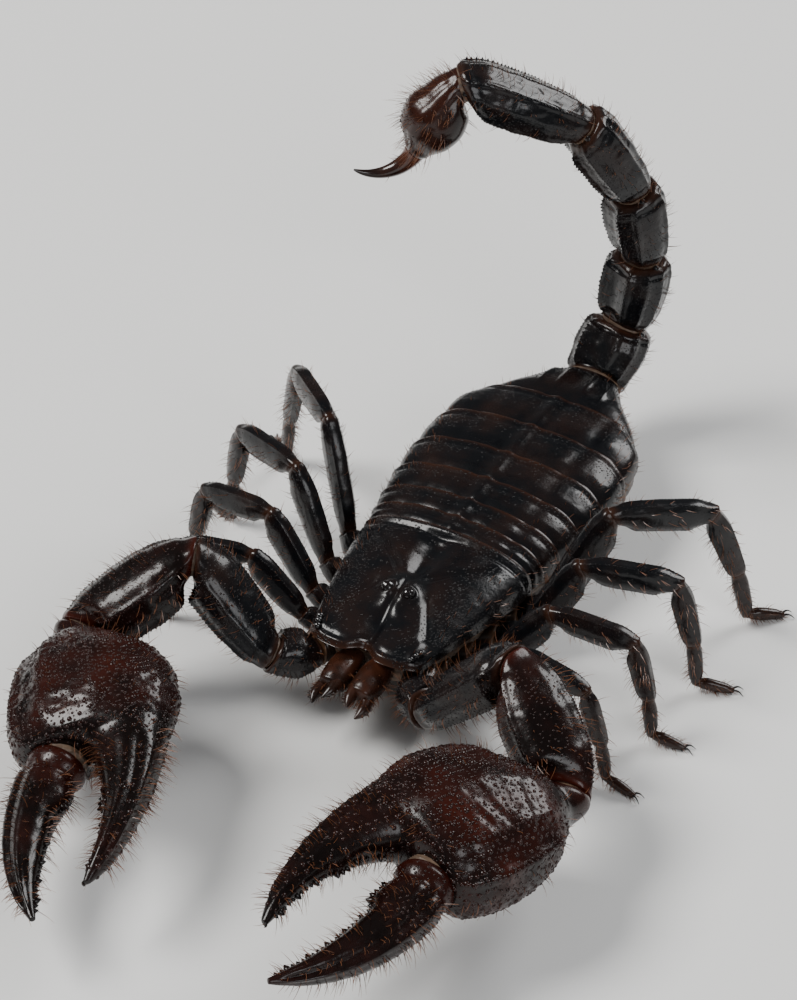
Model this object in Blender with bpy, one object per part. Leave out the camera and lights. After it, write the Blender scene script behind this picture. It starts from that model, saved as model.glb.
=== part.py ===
"""A life-size emperor scorpion, standing with its claws held in front and its tail raised over its back.

The animal faces -Y, its left side is +X, and its eight feet stand on Z = 0. Every plate of the shell
and every limb segment is one closed body, and neighbours stay GAP apart. Lengths are in metres.
"""

import math

import bmesh
import bpy
from mathutils import Vector

MM = 0.001
GAP = 0.3 * MM
UP = Vector((0, 0, 1))

# The trunk, measured back from the front edge of the carapace
CARAPACE_LENGTH = 28 * MM
CARAPACE_FRONT_WIDTH = 18.4 * MM
CARAPACE_REAR_WIDTH = 28.6 * MM
CARAPACE_NOTCH = 2.2 * MM
ABDOMEN_SWELL = 2.8 * MM
TAIL_ROOT_WIDTH = 11.5 * MM
TAIL_ROOT_HEIGHT = 12.2 * MM
TERGITE_LENGTHS = [mm * MM for mm in (3.2, 4.2, 5.6, 7.0, 8.2, 9.3, 12.5)]
TAIL_ROOT_SLANT = math.tan(math.radians(22))
STERNITE_LENGTHS = [mm * MM for mm in (9.0, 8.6, 8.8, 9.2, 11.0)]
ABDOMEN_LENGTH = sum(TERGITE_LENGTHS)
TRUNK_LENGTH = CARAPACE_LENGTH + ABDOMEN_LENGTH
PLATE_STEP = 0.5 * MM

# The eyes
MEDIAN_EYE_RADIUS = 0.95 * MM
MEDIAN_EYE_BACK = 12.2 * MM
MEDIAN_EYE_ASIDE = 1.75 * MM
LATERAL_EYE_RADIUS = 0.6 * MM
LATERAL_EYE_SPACING = 0.95 * MM

# The tail: length, half width and half height of each ring in millimetres, then its lift above the
# horizontal behind the body and its swing from straight behind to the animal's left, in degrees
TAIL_RINGS = [
    (11.0, 5.6, 4.7, 50, 15),
    (12.5, 5.4, 4.6, 77, 27),
    (13.5, 5.2, 4.5, 100, 39),
    (15.5, 5.0, 4.4, 124, 49),
    (21.0, 4.8, 4.1, 155, 54),
]
VESICLE_LENGTH = 13.5 * MM
VESICLE_LIFT = 238
VESICLE_SWING = 53
VESICLE_SECTIONS = [
    (0, 0.0, 2.7, 2.4, 2.7),
    (0, 0.24, 4.5, 3.8, 4.4),
    (0, 0.48, 5.3, 4.5, 5.6),
    (0, 0.70, 4.7, 3.9, 5.1),
    (0, 0.88, 3.1, 2.5, 3.2),
    (1, 0.0, 2.0, 1.7, 1.8),
]
STING_BEND_RADIUS = 7.0 * MM
STING_SWEEP = 88
STING_SECTIONS = [(0, 1.7), (0.15, 1.5), (0.35, 1.25), (0.55, 0.95), (0.75, 0.65), (0.92, 0.38), (1, 0.27)]

# The pincer arms: trochanter, femur and patella lengths, and each segment's direction as
# degrees outwards from straight ahead and degrees above the horizontal
ARM_LENGTHS = [mm * MM for mm in (7.0, 18.0, 20.0)]
FINGER_LENGTH = 29 * MM
COXA_LENGTH = 4.2 * MM
ARM_ROOT = Vector((8.6, 2.0, 9.2)) * MM
LEFT_ARM = {"trochanter": (44, 16), "femur": (98, 44), "patella": (52, -27), "hand": (-27, 7)}
RIGHT_ARM = {"trochanter": (40, 16), "femur": (92, 44), "patella": (42, -28), "hand": (-36, 0)}
HAND_ROLL = 16

# The legs, front to back: hip across and back, direction outwards from straight ahead, lift of the
# femur, then the lengths of trochanter, femur, patella, tibia, basitarsus and tarsus
LEGS = [
    (10.6, 9.0, 84, 45, (4.0, 12.0, 11.0, 9.0, 6.0, 5.0)),
    (12.0, 13.6, 98, 53, (4.2, 13.5, 12.5, 10.0, 6.8, 5.4)),
    (13.2, 19.2, 113, 59, (4.6, 15.5, 14.0, 11.5, 7.6, 5.8)),
    (13.9, 25.0, 131, 60, (5.2, 18.0, 15.5, 13.0, 9.0, 6.2)),
]
HIP_HEIGHT = 7.8 * MM
TROCHANTER_LIFT = 18
PATELLA_LIFT = -8
TARSUS_LIFT = -18
TOE_HEIGHT = 0.08 * MM


def share_between(low, high, share):
    """The value a share of the way from low to high."""
    return low + (high - low) * share


def eased(share):
    """A share that starts and ends level."""
    share = min(max(share, 0.0), 1.0)
    return share * share * (3 - 2 * share)


# ---------------------------------------------------------------- materials


def finish(name, colour, roughness):
    """One plain material."""
    material = bpy.data.materials.new(name)
    material.use_nodes = True
    surface = material.node_tree.nodes["Principled BSDF"]
    surface.inputs["Base Color"].default_value = (*colour, 1)
    surface.inputs["Roughness"].default_value = roughness
    surface.inputs["Metallic"].default_value = 0.0
    material.diffuse_color = (*colour, 1)
    return material


def finishes():
    """The animal's materials by name."""
    return {
        "shell": finish("shell", (0.020, 0.021, 0.026), 0.25),
        "belly": finish("belly", (0.075, 0.050, 0.036), 0.35),
        "claw": finish("claw", (0.045, 0.018, 0.013), 0.32),
        "telson": finish("telson", (0.150, 0.040, 0.018), 0.28),
        "sting": finish("sting", (0.022, 0.010, 0.008), 0.20),
        "jaw": finish("jaw", (0.110, 0.045, 0.022), 0.35),
        "eye": finish("eye", (0.008, 0.008, 0.010), 0.05),
        "comb": finish("comb", (0.330, 0.200, 0.110), 0.45),
    }


# ---------------------------------------------------------------- bodies from rings


def loft(name, rings, coat, location=(0, 0, 0)):
    """One closed body through rings of points: a circle's edge is extruded from ring to ring."""
    mesh = bmesh.new()
    loop = bmesh.ops.create_circle(mesh, segments=len(rings[0]), radius=1)["verts"]
    for vertex, point in zip(loop, rings[0]):
        vertex.co = point
    start = loop
    for ring in rings[1:]:
        edges = [mesh.edges.get(pair) for pair in zip(loop, loop[1:] + loop[:1])]
        drawn = set(bmesh.ops.extrude_edge_only(mesh, edges=edges)["geom"])
        onward = []
        for vertex, point in zip(loop, ring):
            copy = next(e.other_vert(vertex) for e in vertex.link_edges if e.other_vert(vertex) in drawn)
            copy.co = point
            onward.append(copy)
        loop = onward
    for rim in (start, loop):
        mesh.faces.new(rim)
    bmesh.ops.recalc_face_normals(mesh, faces=mesh.faces)
    return body(name, mesh, coat, location)


def body(name, mesh, coat, location=(0, 0, 0)):
    """An object from a finished bmesh, smooth but for its sharp edges."""
    data = bpy.data.meshes.new(name)
    mesh.to_mesh(data)
    mesh.free()
    data.shade_smooth()
    data.set_sharp_from_angle(angle=math.radians(50))
    data.materials.append(coat)
    made = bpy.data.objects.new(name, data)
    made.location = location
    bpy.context.scene.collection.objects.link(made)
    return made


def oval(half, rise, drop, sides, boxiness=2.3):
    """A flattened round section as (across, up) pairs, half wide either way."""
    points = []
    for k in range(sides):
        turn = 2 * math.pi * (k + 0.5) / sides
        across = math.copysign(abs(math.cos(turn)) ** (2 / boxiness), math.cos(turn))
        high = math.copysign(abs(math.sin(turn)) ** (2 / boxiness), math.sin(turn))
        points.append((half * across, (rise if high > 0 else drop) * high))
    return points


def side_of(along, side_hint):
    """The sideways and upward directions of a section that faces along."""
    side = (side_hint - along * side_hint.dot(along)).normalized()
    return side, side.cross(along)


def tube(name, joints, sections, side_hint, coat, sides=8, start_face=None, end_face=None):
    """A limb through joints. A section is (joint, share of the way to the next, half width, rise, drop).

    Sections stand across the limb, and at a joint they halve its bend. start_face and end_face are the
    directions that the two ends face, so that the next body can lie flat against them, GAP away.
    """
    ways = [(b - a).normalized() for a, b in zip(joints, joints[1:])]
    rings = []
    for number, (joint, share, half, rise, drop) in enumerate(sections):
        way = ways[min(joint, len(ways) - 1)]
        centre = joints[joint].lerp(joints[min(joint + 1, len(joints) - 1)], share)
        face = way
        if share == 0 and 0 < joint < len(ways):
            face = (ways[joint - 1] + way).normalized()
        if number == 0:
            face = start_face or way
            centre = centre + face * (GAP / 2)
        elif number == len(sections) - 1:
            face = end_face or way
            centre = centre - face * (GAP / 2)
        side, up = side_of(face, side_hint)
        section = oval(half, rise, drop, sides)
        rings.append([centre - joints[0] + side * across + up * high for across, high in section])
    return loft(name, rings, coat, joints[0])


def sized(sections, unit=MM):
    """Sections for a tube, from ones whose half width, rise and drop are given in units."""
    return [(joint, share, *[size * unit for size in sizes]) for joint, share, *sizes in sections]


def cut_by(target, tool):
    """Cuts a socket in target with tool, which isn't part of the animal."""
    tool.hide_render = True
    tool.display_type = "WIRE"
    for old in list(tool.users_collection):
        old.objects.unlink(tool)
    bpy.data.collections["Cutters"].objects.link(tool)
    socket = target.modifiers.new("socket", "BOOLEAN")
    socket.operation = "DIFFERENCE"
    socket.object = tool


def joined(name, pieces, coat):
    """One body from overlapping ones: the first is united with each of the others in turn."""
    first, *others = pieces
    for other in others:
        union = first.modifiers.new("union", "BOOLEAN")
        union.operation = "UNION"
        union.object = other
        bpy.context.view_layer.update()
        graph = bpy.context.evaluated_depsgraph_get()
        whole = bpy.data.meshes.new_from_object(first.evaluated_get(graph))
        first.modifiers.clear()
        first.data = whole
        bpy.data.objects.remove(other)
    first.name = name
    first.data.materials.clear()
    first.data.materials.append(coat)
    return first


# ---------------------------------------------------------------- the trunk


def trunk_share(back):
    """How far along the abdomen a point behind the carapace lies."""
    return (back - CARAPACE_LENGTH) / ABDOMEN_LENGTH


def half_width(back):
    """Half the trunk's width at a distance behind the carapace's front edge."""
    if back <= CARAPACE_LENGTH:
        spread = math.sin(back / CARAPACE_LENGTH * math.pi / 2)
        return share_between(CARAPACE_FRONT_WIDTH, CARAPACE_REAR_WIDTH, spread) / 2
    share = trunk_share(back)
    swell = ABDOMEN_SWELL * math.sin(math.pi * min(share / 0.9, 1))
    taper = eased((share - 0.66) / 0.34)
    return share_between(CARAPACE_REAR_WIDTH / 2 + swell, TAIL_ROOT_WIDTH / 2, taper)


def crest(back):
    """Height of the back's midline."""
    if back <= CARAPACE_LENGTH:
        return share_between(14.2, 17.4, math.sin(back / CARAPACE_LENGTH * math.pi / 2)) * MM
    share = trunk_share(back)
    return (share_between(17.4, 16.4, eased(share)) + 1.5 * math.sin(math.pi * share) ** 1.2) * MM


def waist(back):
    """Height of the line where the back plates meet the under side."""
    if back <= CARAPACE_LENGTH:
        return share_between(12.4, 10.4, eased(back / CARAPACE_LENGTH)) * MM
    return share_between(10.4, 12.2, eased(trunk_share(back))) * MM


def belly(back):
    """Height of the under side's midline."""
    return share_between(5.2, 8.0, eased((trunk_share(back) - 0.55) / 0.45)) * MM


def arch(half, foot, edge, top, count, fullness=0.72):
    """An arched section as (across, height) pairs: a flat foot, short upright sides and a dome."""
    points = [(half, foot)]
    for k in range(count):
        turn = math.pi * k / (count - 1)
        points.append((half * math.cos(turn), edge + (top - edge) * math.sin(turn) ** fullness))
    return points + [(-half, foot)]


def slanted(back, height):
    """Where a point of a plate's edge lies: the trunk's end leans forward to face up the tail."""
    near_end = eased((back - TRUNK_LENGTH) / (5 * MM) + 1)
    return back - near_end * (height - TAIL_ROOT_HEIGHT) * TAIL_ROOT_SLANT


def back_plate(name, start, end, coat):
    """One back plate, a little wider and higher at its rear edge, which stands over the next."""
    rings = []
    for back, grown in ((start + GAP, -PLATE_STEP), (share_between(start, end, 0.3), 0), (end, 0)):
        half, foot, top = half_width(back) + grown, waist(back), crest(back) + grown
        section = arch(half, foot, foot + 0.9 * MM, top, 9)
        rings.append([Vector((across, slanted(back, height), height)) for across, height in section])
    return loft(name, rings, coat)


def belly_plate(name, start, end, coat):
    """One plate of the under side, inside the back plates' edges."""
    rings = []
    for back in (start + GAP, share_between(start, end, 0.5), end):
        half, foot, low = half_width(back) * 0.95, waist(back) - GAP, belly(back)
        section = arch(half, foot, foot - 0.9 * MM, low, 9, 0.5)
        rings.append([Vector((across, slanted(back, height), height)) for across, height in section])
    return loft(name, rings, coat)


def carapace_front(across):
    """How far the carapace's front edge lies behind its foremost point: a notch between two lobes."""
    notch = CARAPACE_NOTCH * math.exp(-((across / (1.9 * MM)) ** 2))
    return notch + 1.8 * MM * (across / (CARAPACE_FRONT_WIDTH / 2)) ** 4


def carapace_relief(across, back):
    """The middle furrow and the mound that carries the two large eyes, as a change of height."""
    furrow = 0.8 * MM * math.exp(-((across / (1.1 * MM)) ** 2))
    mound_at = (back - MEDIAN_EYE_BACK) / (3.4 * MM)
    mound = 1.5 * MM * math.exp(-((across / (2.6 * MM)) ** 2) - mound_at**2)
    return mound - furrow * eased(abs(mound_at) - 0.6)


def carapace(coat):
    """The one plate over the front of the trunk."""
    rings = []
    for share in (0, 0.08, 0.2, 0.32, 0.44, 0.56, 0.75, 1):
        ring = []
        level = share * CARAPACE_LENGTH
        foot = waist(level)
        for across, height in arch(half_width(level), foot, foot + 1.0 * MM, crest(level), 17):
            back = share_between(carapace_front(across), CARAPACE_LENGTH, share)
            relief = carapace_relief(across, back) if height > foot else 0
            ring.append(Vector((across, back, height + relief)))
        rings.append(ring)
    return loft("carapace", rings, coat)


def underside(coat):
    """The leg bases and breast plate under the carapace, with a lobe out to each hip."""
    stations = [6.6 * MM, LEGS[0][1] * MM]
    for ahead, behind in zip(LEGS, LEGS[1:]):
        stations += [(ahead[1] + behind[1]) / 2 * MM, behind[1] * MM]
    stations.append(CARAPACE_LENGTH - GAP)
    rings = []
    for number, back in enumerate(stations):
        lobe = 0.0 if number % 2 else -1.3 * MM
        half = half_width(back) - 1.6 * MM + lobe
        foot = waist(back) - GAP
        section = arch(half, foot, foot - 2.2 * MM, 5.4 * MM, 9, 0.5)
        rings.append([Vector((across, back, height)) for across, height in section])
    return loft("underside", rings, coat)


def ball(name, centre, radius, coat, segments=10, rings=7):
    """A bead, for an eye or the socket round it."""
    mesh = bmesh.new()
    bmesh.ops.create_uvsphere(mesh, u_segments=segments, v_segments=rings, radius=radius)
    return body(name, mesh, coat, centre)


def eyes(shell, coat):
    """Two large eyes on the mound and three small ones at each front corner, in sockets."""
    for name, sign in (("left", 1), ("right", -1)):
        across = sign * MEDIAN_EYE_ASIDE
        height = crest(MEDIAN_EYE_BACK) + 0.55 * MM
        centre = Vector((across, MEDIAN_EYE_BACK, height))
        ball(f"median_eye_{name}", centre, MEDIAN_EYE_RADIUS, coat)
        cut_by(shell, ball(f"socket_{name}", centre, MEDIAN_EYE_RADIUS + GAP, coat))
        row, room = [], []
        for k in range(3):
            along = (k - 1) * LATERAL_EYE_SPACING
            spot = Vector((sign * (8.15 * MM + along * 0.35), 2.9 * MM + along, 14.75 * MM))
            row.append(ball(f"ocellus_{k}", spot, LATERAL_EYE_RADIUS, coat, 8, 6))
            room.append(ball(f"room_{k}", spot, LATERAL_EYE_RADIUS + GAP, coat, 8, 6))
        joined(f"lateral_eyes_{name}", row, coat)
        cut_by(shell, joined(f"lateral_room_{name}", room, coat))


def operculum(coat):
    """The pair of small plates over the opening behind the breast plate, as one oval plate."""
    rings = []
    for level, grown in ((4.5, 0.8), (4.8, 1.0), (5.1, 1.0)):
        ring = [
            Vector((across * grown, 25.2 * MM + high * grown, level * MM))
            for across, high in oval(2.7 * MM, 1.9 * MM, 1.9 * MM, 12)
        ]
        rings.append(ring)
    return loft("genital_operculum", rings, coat)


def pecten(name, sign, coat):
    """One comb: a flat shaft that runs outwards, with teeth along its rear edge."""
    teeth, length, pitch, thickness = 14, 11.5 * MM, 0.74 * MM, 0.7 * MM
    outline = [(0.0, -0.9 * MM), (length * 0.6, -1.0 * MM), (length, -0.2 * MM)]
    for k in range(teeth):
        root = length - (k + 0.5) * pitch
        reach = (2.0 - 0.03 * k) * MM
        outline += [(root + pitch * 0.28, 0.3 * MM), (root + pitch * 0.1, reach)]
        outline += [(root - pitch * 0.1, reach), (root - pitch * 0.28, 0.3 * MM)]
    outline.append((0.0, 0.9 * MM))
    mesh = bmesh.new()
    face = mesh.faces.new([mesh.verts.new((sign * along, across, 0)) for along, across in outline])
    drawn = bmesh.ops.extrude_face_region(mesh, geom=[face])["geom"]
    raised = [item for item in drawn if isinstance(item, bmesh.types.BMVert)]
    bmesh.ops.translate(mesh, verts=raised, vec=(0, 0, thickness))
    bmesh.ops.recalc_face_normals(mesh, faces=mesh.faces)
    made = body(f"pecten_{name}", mesh, coat, Vector((sign * 1.6, 28.6, 3.8)) * MM)
    made.rotation_euler = (0, 0, math.radians(sign * 16))
    return made


# ---------------------------------------------------------------- the tail


def tail_way(lift, swing):
    """The direction of a tail ring, and the direction of its left side."""
    lift, swing = math.radians(lift), math.radians(swing)
    backwards = Vector((math.sin(swing), math.cos(swing), 0))
    way = backwards * math.cos(lift) + UP * math.sin(lift)
    inside = UP * math.cos(lift) - backwards * math.sin(lift)
    return way, way.cross(inside)


def tail(coats):
    """Five rings that curl up, over and to the animal's right, with the telson at their end."""
    joint = Vector((0, TRUNK_LENGTH + GAP / 2, TAIL_ROOT_HEIGHT))
    ways = [tail_way(lift, swing) for *_, lift, swing in TAIL_RINGS]
    ways.append(tail_way(VESICLE_LIFT, VESICLE_SWING))
    face = Vector((0, 1, TAIL_ROOT_SLANT)).normalized()
    for number, (length, half, tall, _, _) in enumerate(TAIL_RINGS):
        way, side = ways[number]
        half, tall = half * MM, tall * MM
        onward = joint + way * length * MM
        next_face = (way + ways[number + 1][0]).normalized()
        last = number == len(TAIL_RINGS) - 1
        waisted = 0.74 if last else 0.88
        sections = [
            (0, 0.0, half * 0.74, tall * 0.70, tall * 0.74),
            (0, 0.2 if number else 0.3, half * 0.90, tall * 0.88, tall * 0.90),
            (0, 0.55, half, tall * 0.98, tall),
            (0, 0.78, half * (0.97 if last else 1.02), tall, tall * 1.04),
            (1, 0.0, half * waisted, tall * (waisted - 0.04), tall * waisted),
        ]
        tube(f"tail_{number + 1}", [joint, onward], sections, side, coats["shell"], 14, face, next_face)
        joint, face = onward, next_face
    telson(joint, *ways[-1], face, coats)


def telson(joint, way, side, face, coats):
    """The bulb that holds the venom, and the sting that curves away from its end."""
    tip = joint + way * VESICLE_LENGTH
    tube("telson_vesicle", [joint, tip], sized(VESICLE_SECTIONS), side, coats["telson"], 14, face)
    inside = side.cross(way)
    centre = tip - inside * STING_BEND_RADIUS
    rings = []
    for share, radius in STING_SECTIONS:
        turn = math.radians(STING_SWEEP) * share
        outwards = inside * math.cos(turn) + way * math.sin(turn)
        middle = centre + outwards * STING_BEND_RADIUS
        if share == 0:
            middle = middle + way * (GAP / 2)
        section = oval(radius * MM, radius * MM, radius * MM, 10, 2)
        rings.append([middle - tip + side * across + outwards * high for across, high in section])
    loft("telson_sting", rings, coats["sting"], tip)


# ---------------------------------------------------------------- the pincer arms


def heading(sign, outwards, lift):
    """A direction so many degrees outwards from straight ahead and above the horizontal."""
    outwards, lift = math.radians(outwards), math.radians(lift)
    flat = math.cos(lift)
    return Vector((sign * math.sin(outwards) * flat, -math.cos(outwards) * flat, math.sin(lift)))


# Each arm segment: share of its length, half width, rise and drop, in millimetres
COXA = [(0.0, 2.3, 2.0, 2.8), (0.5, 2.7, 2.1, 3.2), (1.0, 2.5, 1.9, 2.6)]
TROCHANTER = [(0.0, 2.5, 2.2, 2.4), (0.45, 3.6, 3.4, 3.4), (1.0, 2.9, 2.8, 2.8)]
FEMUR = [
    (0.0, 2.7, 2.6, 2.6),
    (0.2, 3.8, 3.6, 3.4),
    (0.5, 4.3, 4.0, 3.8),
    (0.78, 4.3, 4.0, 3.8),
    (1.0, 3.1, 3.0, 3.0),
]
PATELLA = [
    (0.0, 3.1, 3.0, 3.0),
    (0.22, 4.8, 4.2, 4.2),
    (0.45, 5.6, 4.7, 4.6),
    (0.72, 5.2, 4.6, 4.5),
    (1.0, 3.3, 3.2, 3.2),
]

# The hand and its fixed finger: distance from the wrist, then how far it reaches inwards, outwards,
# up and down, in millimetres
HAND = [
    (0.0, 3.2, 3.2, 3.1, 3.1),
    (3.8, 4.2, 5.6, 4.7, 4.5),
    (7.6, 8.4, 8.8, 6.2, 5.8),
    (12.8, 12.6, 10.8, 7.3, 6.8),
    (18.2, 13.4, 11.5, 7.4, 6.9),
    (22.4, 12.8, 10.9, 6.8, 6.3),
    (24.8, 11.9, 9.2, 6.0, 5.6),
    (27.2, 11.2, -0.5, 4.9, 4.6),
    (32.2, 9.9, -1.5, 3.9, 3.8),
    (37.2, 8.1, -2.0, 3.2, 3.1),
    (42.2, 5.6, -1.1, 2.5, 2.4),
    (46.8, 2.7, 0.5, 1.7, 1.7),
    (50.0, -0.4, 1.8, 0.9, 0.9),
]
# The movable finger: where its base lies on the palm, which way the palm faces there, then how far
# the finger leans outwards at its base and how far it has turned back by its tip, in degrees
HINGE_AHEAD = 26.1 * MM
HINGE_OUTWARDS = 4.3 * MM
PALM_SLANT = 14
FINGER_OPENING = 34
FINGER_BEND = 48
FINGER_HALF_WIDTHS = (4.4, 4.2, 3.9, 3.5, 3.1, 2.6, 2.0, 1.3, 0.6)


def arm(name, sign, angles, coats):
    """One pincer arm: coxa, trochanter, femur, patella, hand with its fixed finger, movable finger."""
    ways = [Vector((sign * 0.12, -1, 0)).normalized()]
    ways += [heading(sign, *angles[part]) for part in ("trochanter", "femur", "patella", "hand")]
    root = Vector((ARM_ROOT.x * sign, ARM_ROOT.y, ARM_ROOT.z))
    joints = [root - ways[0] * COXA_LENGTH, root]
    for way, length in zip(ways[1:], ARM_LENGTHS):
        joints.append(joints[-1] + way * length)
    faces = [ways[0]] + [(a + b).normalized() for a, b in zip(ways, ways[1:])]
    segments = [("coxa", COXA, "belly"), ("trochanter", TROCHANTER, "shell")]
    segments += [("femur", FEMUR, "shell"), ("patella", PATELLA, "claw")]
    for number, (part, sizes, coat) in enumerate(segments):
        sections = sized([(int(share), share % 1, *size) for share, *size in sizes])
        side, ends = ways[number].cross(UP), faces[number : number + 2]
        tube(f"arm_{name}_{part}", joints[number : number + 2], sections, side, coats[coat], 10, *ends)
    claw(name, sign, joints[-1], ways[-1], faces[-1], coats["claw"])


def in_plane(direction, face):
    """The part of a direction that lies across face."""
    return (direction - face * direction.dot(face)).normalized()


def claw(name, sign, wrist, way, wrist_face, coat):
    """The hand with its fixed finger as one body, and the movable finger on its outer side."""
    level = way.cross(UP).normalized()
    level = level if level.x * sign > 0 else -level
    upright = in_plane(UP, way)
    roll = math.radians(HAND_ROLL)
    outwards = level * math.cos(roll) - upright * math.sin(roll)
    up = upright * math.cos(roll) + level * math.sin(roll)
    across, high = in_plane(outwards, wrist_face), in_plane(up, wrist_face)
    rings = []
    for ahead, inner, outer, rise, drop in HAND:
        centre = way * ahead * MM + outwards * (outer - inner) / 2 * MM
        if rings:
            across, high = outwards, up
        else:
            centre = wrist_face * (GAP / 2)
        section = oval((inner + outer) / 2 * MM, rise * MM, drop * MM, 14, 2.2)
        rings.append([centre + across * x + high * z for x, z in section])
    loft(f"arm_{name}_hand", rings, coat, wrist)

    face = math.radians(PALM_SLANT)
    start = way * HINGE_AHEAD + outwards * HINGE_OUTWARDS
    middle = start + (way * math.cos(face) + outwards * math.sin(face)) * GAP
    last = len(FINGER_HALF_WIDTHS) - 1
    step = FINGER_LENGTH / last
    rings = []
    for number, half in enumerate(FINGER_HALF_WIDTHS):
        turn = math.radians(FINGER_OPENING - FINGER_BEND * number / last)
        if rings:
            middle = middle + (way * math.cos(turn) + outwards * math.sin(turn)) * step
            face = turn
        across = outwards * math.cos(face) - way * math.sin(face)
        section = oval(half * MM, half * MM, half * MM, 10, 2.1)
        rings.append([middle - start + across * x + up * z for x, z in section])
    loft(f"arm_{name}_finger", rings, coat, wrist + start)


JAW_HAND = [(0, 0.0, 1.9, 1.8, 1.9), (0, 0.5, 2.25, 2.1, 2.4), (1, 0.0, 1.7, 1.6, 1.8)]
JAW_PRONG = [(0, 0.0, 1.1, 1.2, 1.2), (0, 0.6, 0.85, 0.95, 0.95), (1, 0.0, 0.3, 0.35, 0.35)]


def chelicera(name, sign, coat):
    """One jaw: a stout hand that comes out under the carapace and ends in two prongs."""
    ahead = Vector((0, -1, 0))
    root = Vector((sign * 2.45, 3.4, 9.9)) * MM
    wrist = root + ahead * 7.4 * MM
    inner = wrist + Vector((-sign * 0.7, 1.2, 0.5)) * MM
    outer = wrist + Vector((sign * 0.7, 1.2, -0.7)) * MM
    pieces = []
    for start, end, sizes in (
        (root, wrist, JAW_HAND),
        (inner, inner + Vector((sign * 0.5, -4.0, -0.5)) * MM, JAW_PRONG),
        (outer, outer + Vector((sign * 0.2, -4.4, -0.6)) * MM, JAW_PRONG),
    ):
        pieces.append(tube("jaw", [start, end], sized(sizes), ahead.cross(UP), coat, 10))
    joined(f"chelicera_{name}", pieces, coat)


# ---------------------------------------------------------------- the legs


def drop_angle(height, tibia, basitarsus, tarsus):
    """How steeply the tibia and basitarsus go down so that the tarsus ends on the ground."""
    left = height - tarsus * math.sin(math.radians(-TARSUS_LIFT))
    return math.degrees(math.asin(min(left / (tibia + basitarsus), 0.98)))


# Sections of a leg down to the knee, and below it: joint, share of the way to the next joint,
# half thickness, rise and drop, in millimetres on a leg of middling length
UPPER_LEG = [
    (0, 0.0, 1.3, 1.6, 1.6),
    (0, 0.5, 1.9, 2.2, 2.2),
    (1, 0.0, 1.5, 1.7, 1.7),
    (1, 0.3, 1.6, 2.7, 2.7),
    (1, 0.75, 1.6, 2.8, 2.8),
    (2, 0.0, 1.3, 1.9, 1.9),
    (2, 0.3, 1.5, 2.4, 2.4),
    (2, 0.75, 1.5, 2.4, 2.4),
    (3, 0.0, 1.1, 1.5, 1.5),
]
LOWER_LEG = [
    (0, 0.0, 1.1, 1.4, 1.4),
    (0, 0.3, 1.2, 1.9, 1.9),
    (0, 0.85, 1.1, 1.6, 1.6),
    (1, 0.0, 0.9, 1.2, 1.2),
    (1, 0.6, 0.9, 1.2, 1.2),
    (2, 0.0, 0.8, 1.0, 1.0),
    (2, 0.6, 0.8, 0.95, 0.95),
    (3, 0.0, 0.6, 0.6, 0.6),
]


def leg(name, sign, across, back, outwards, femur_lift, lengths, coat):
    """One leg as two bodies that meet at the knee, each a chain of three segments."""
    hip = Vector((sign * across * MM, back * MM, HIP_HEIGHT))
    lengths = [mm * MM for mm in lengths]
    lifts = [TROCHANTER_LIFT, femur_lift, PATELLA_LIFT]
    height = hip.z - TOE_HEIGHT
    for length, lift in zip(lengths, lifts):
        height += length * math.sin(math.radians(lift))
    steep = drop_angle(height, *lengths[3:])
    lifts += [3 - steep, -4 - steep, TARSUS_LIFT]
    ways = [heading(sign, outwards, lift) for lift in lifts]
    joints = [hip]
    for way, length in zip(ways, lengths):
        joints.append(joints[-1] + way * length)
    side = heading(sign, outwards, 0).cross(UP)
    knee_face = (ways[2] + ways[3]).normalized()
    unit = share_between(0.86, 1.06, (lengths[1] / MM - 12) / 6) * MM
    tube(f"leg_{name}_upper", joints[:4], sized(UPPER_LEG, unit), side, coat, 8, ways[0], knee_face)
    flatten_sole(tube(f"leg_{name}_lower", joints[3:], sized(LOWER_LEG, unit), side, coat, 8, knee_face))


def flatten_sole(shin):
    """Cuts the foot off level where it meets the ground."""
    mesh = bmesh.new()
    mesh.from_mesh(shin.data)
    everything = mesh.verts[:] + mesh.edges[:] + mesh.faces[:]
    ground = Vector((0, 0, -shin.location.z))
    down = Vector((0, 0, -1))
    cut = bmesh.ops.bisect_plane(mesh, geom=everything, plane_co=ground, plane_no=down, clear_outer=True)
    rim = [item for item in cut["geom_cut"] if isinstance(item, bmesh.types.BMEdge)]
    bmesh.ops.contextual_create(mesh, geom=rim)
    bmesh.ops.recalc_face_normals(mesh, faces=mesh.faces)
    mesh.to_mesh(shin.data)
    mesh.free()


# ---------------------------------------------------------------- the whole animal


def settle():
    """Hangs every body on one empty, then stands the animal on the ground with its box centred."""
    bpy.context.view_layer.update()
    graph = bpy.context.evaluated_depsgraph_get()
    shown = [item for item in bpy.context.scene.collection.objects if not item.hide_render]
    corners = []
    for item in shown:
        corners += [item.matrix_world @ Vector(corner) for corner in item.evaluated_get(graph).bound_box]
    low = Vector([min(corner[axis] for corner in corners) for axis in range(3)])
    high = Vector([max(corner[axis] for corner in corners) for axis in range(3)])
    stand = bpy.data.objects.new("scorpion_root", None)
    bpy.context.scene.collection.objects.link(stand)
    stand.location = (-(low.x + high.x) / 2, -(low.y + high.y) / 2, -low.z)
    scorpion = bpy.data.collections.new("Scorpion")
    bpy.context.scene.collection.children.link(scorpion)
    for item in shown + list(bpy.data.collections["Cutters"].objects):
        item.parent = stand
    for item in shown:
        bpy.context.scene.collection.objects.unlink(item)
        scorpion.objects.link(item)


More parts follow.
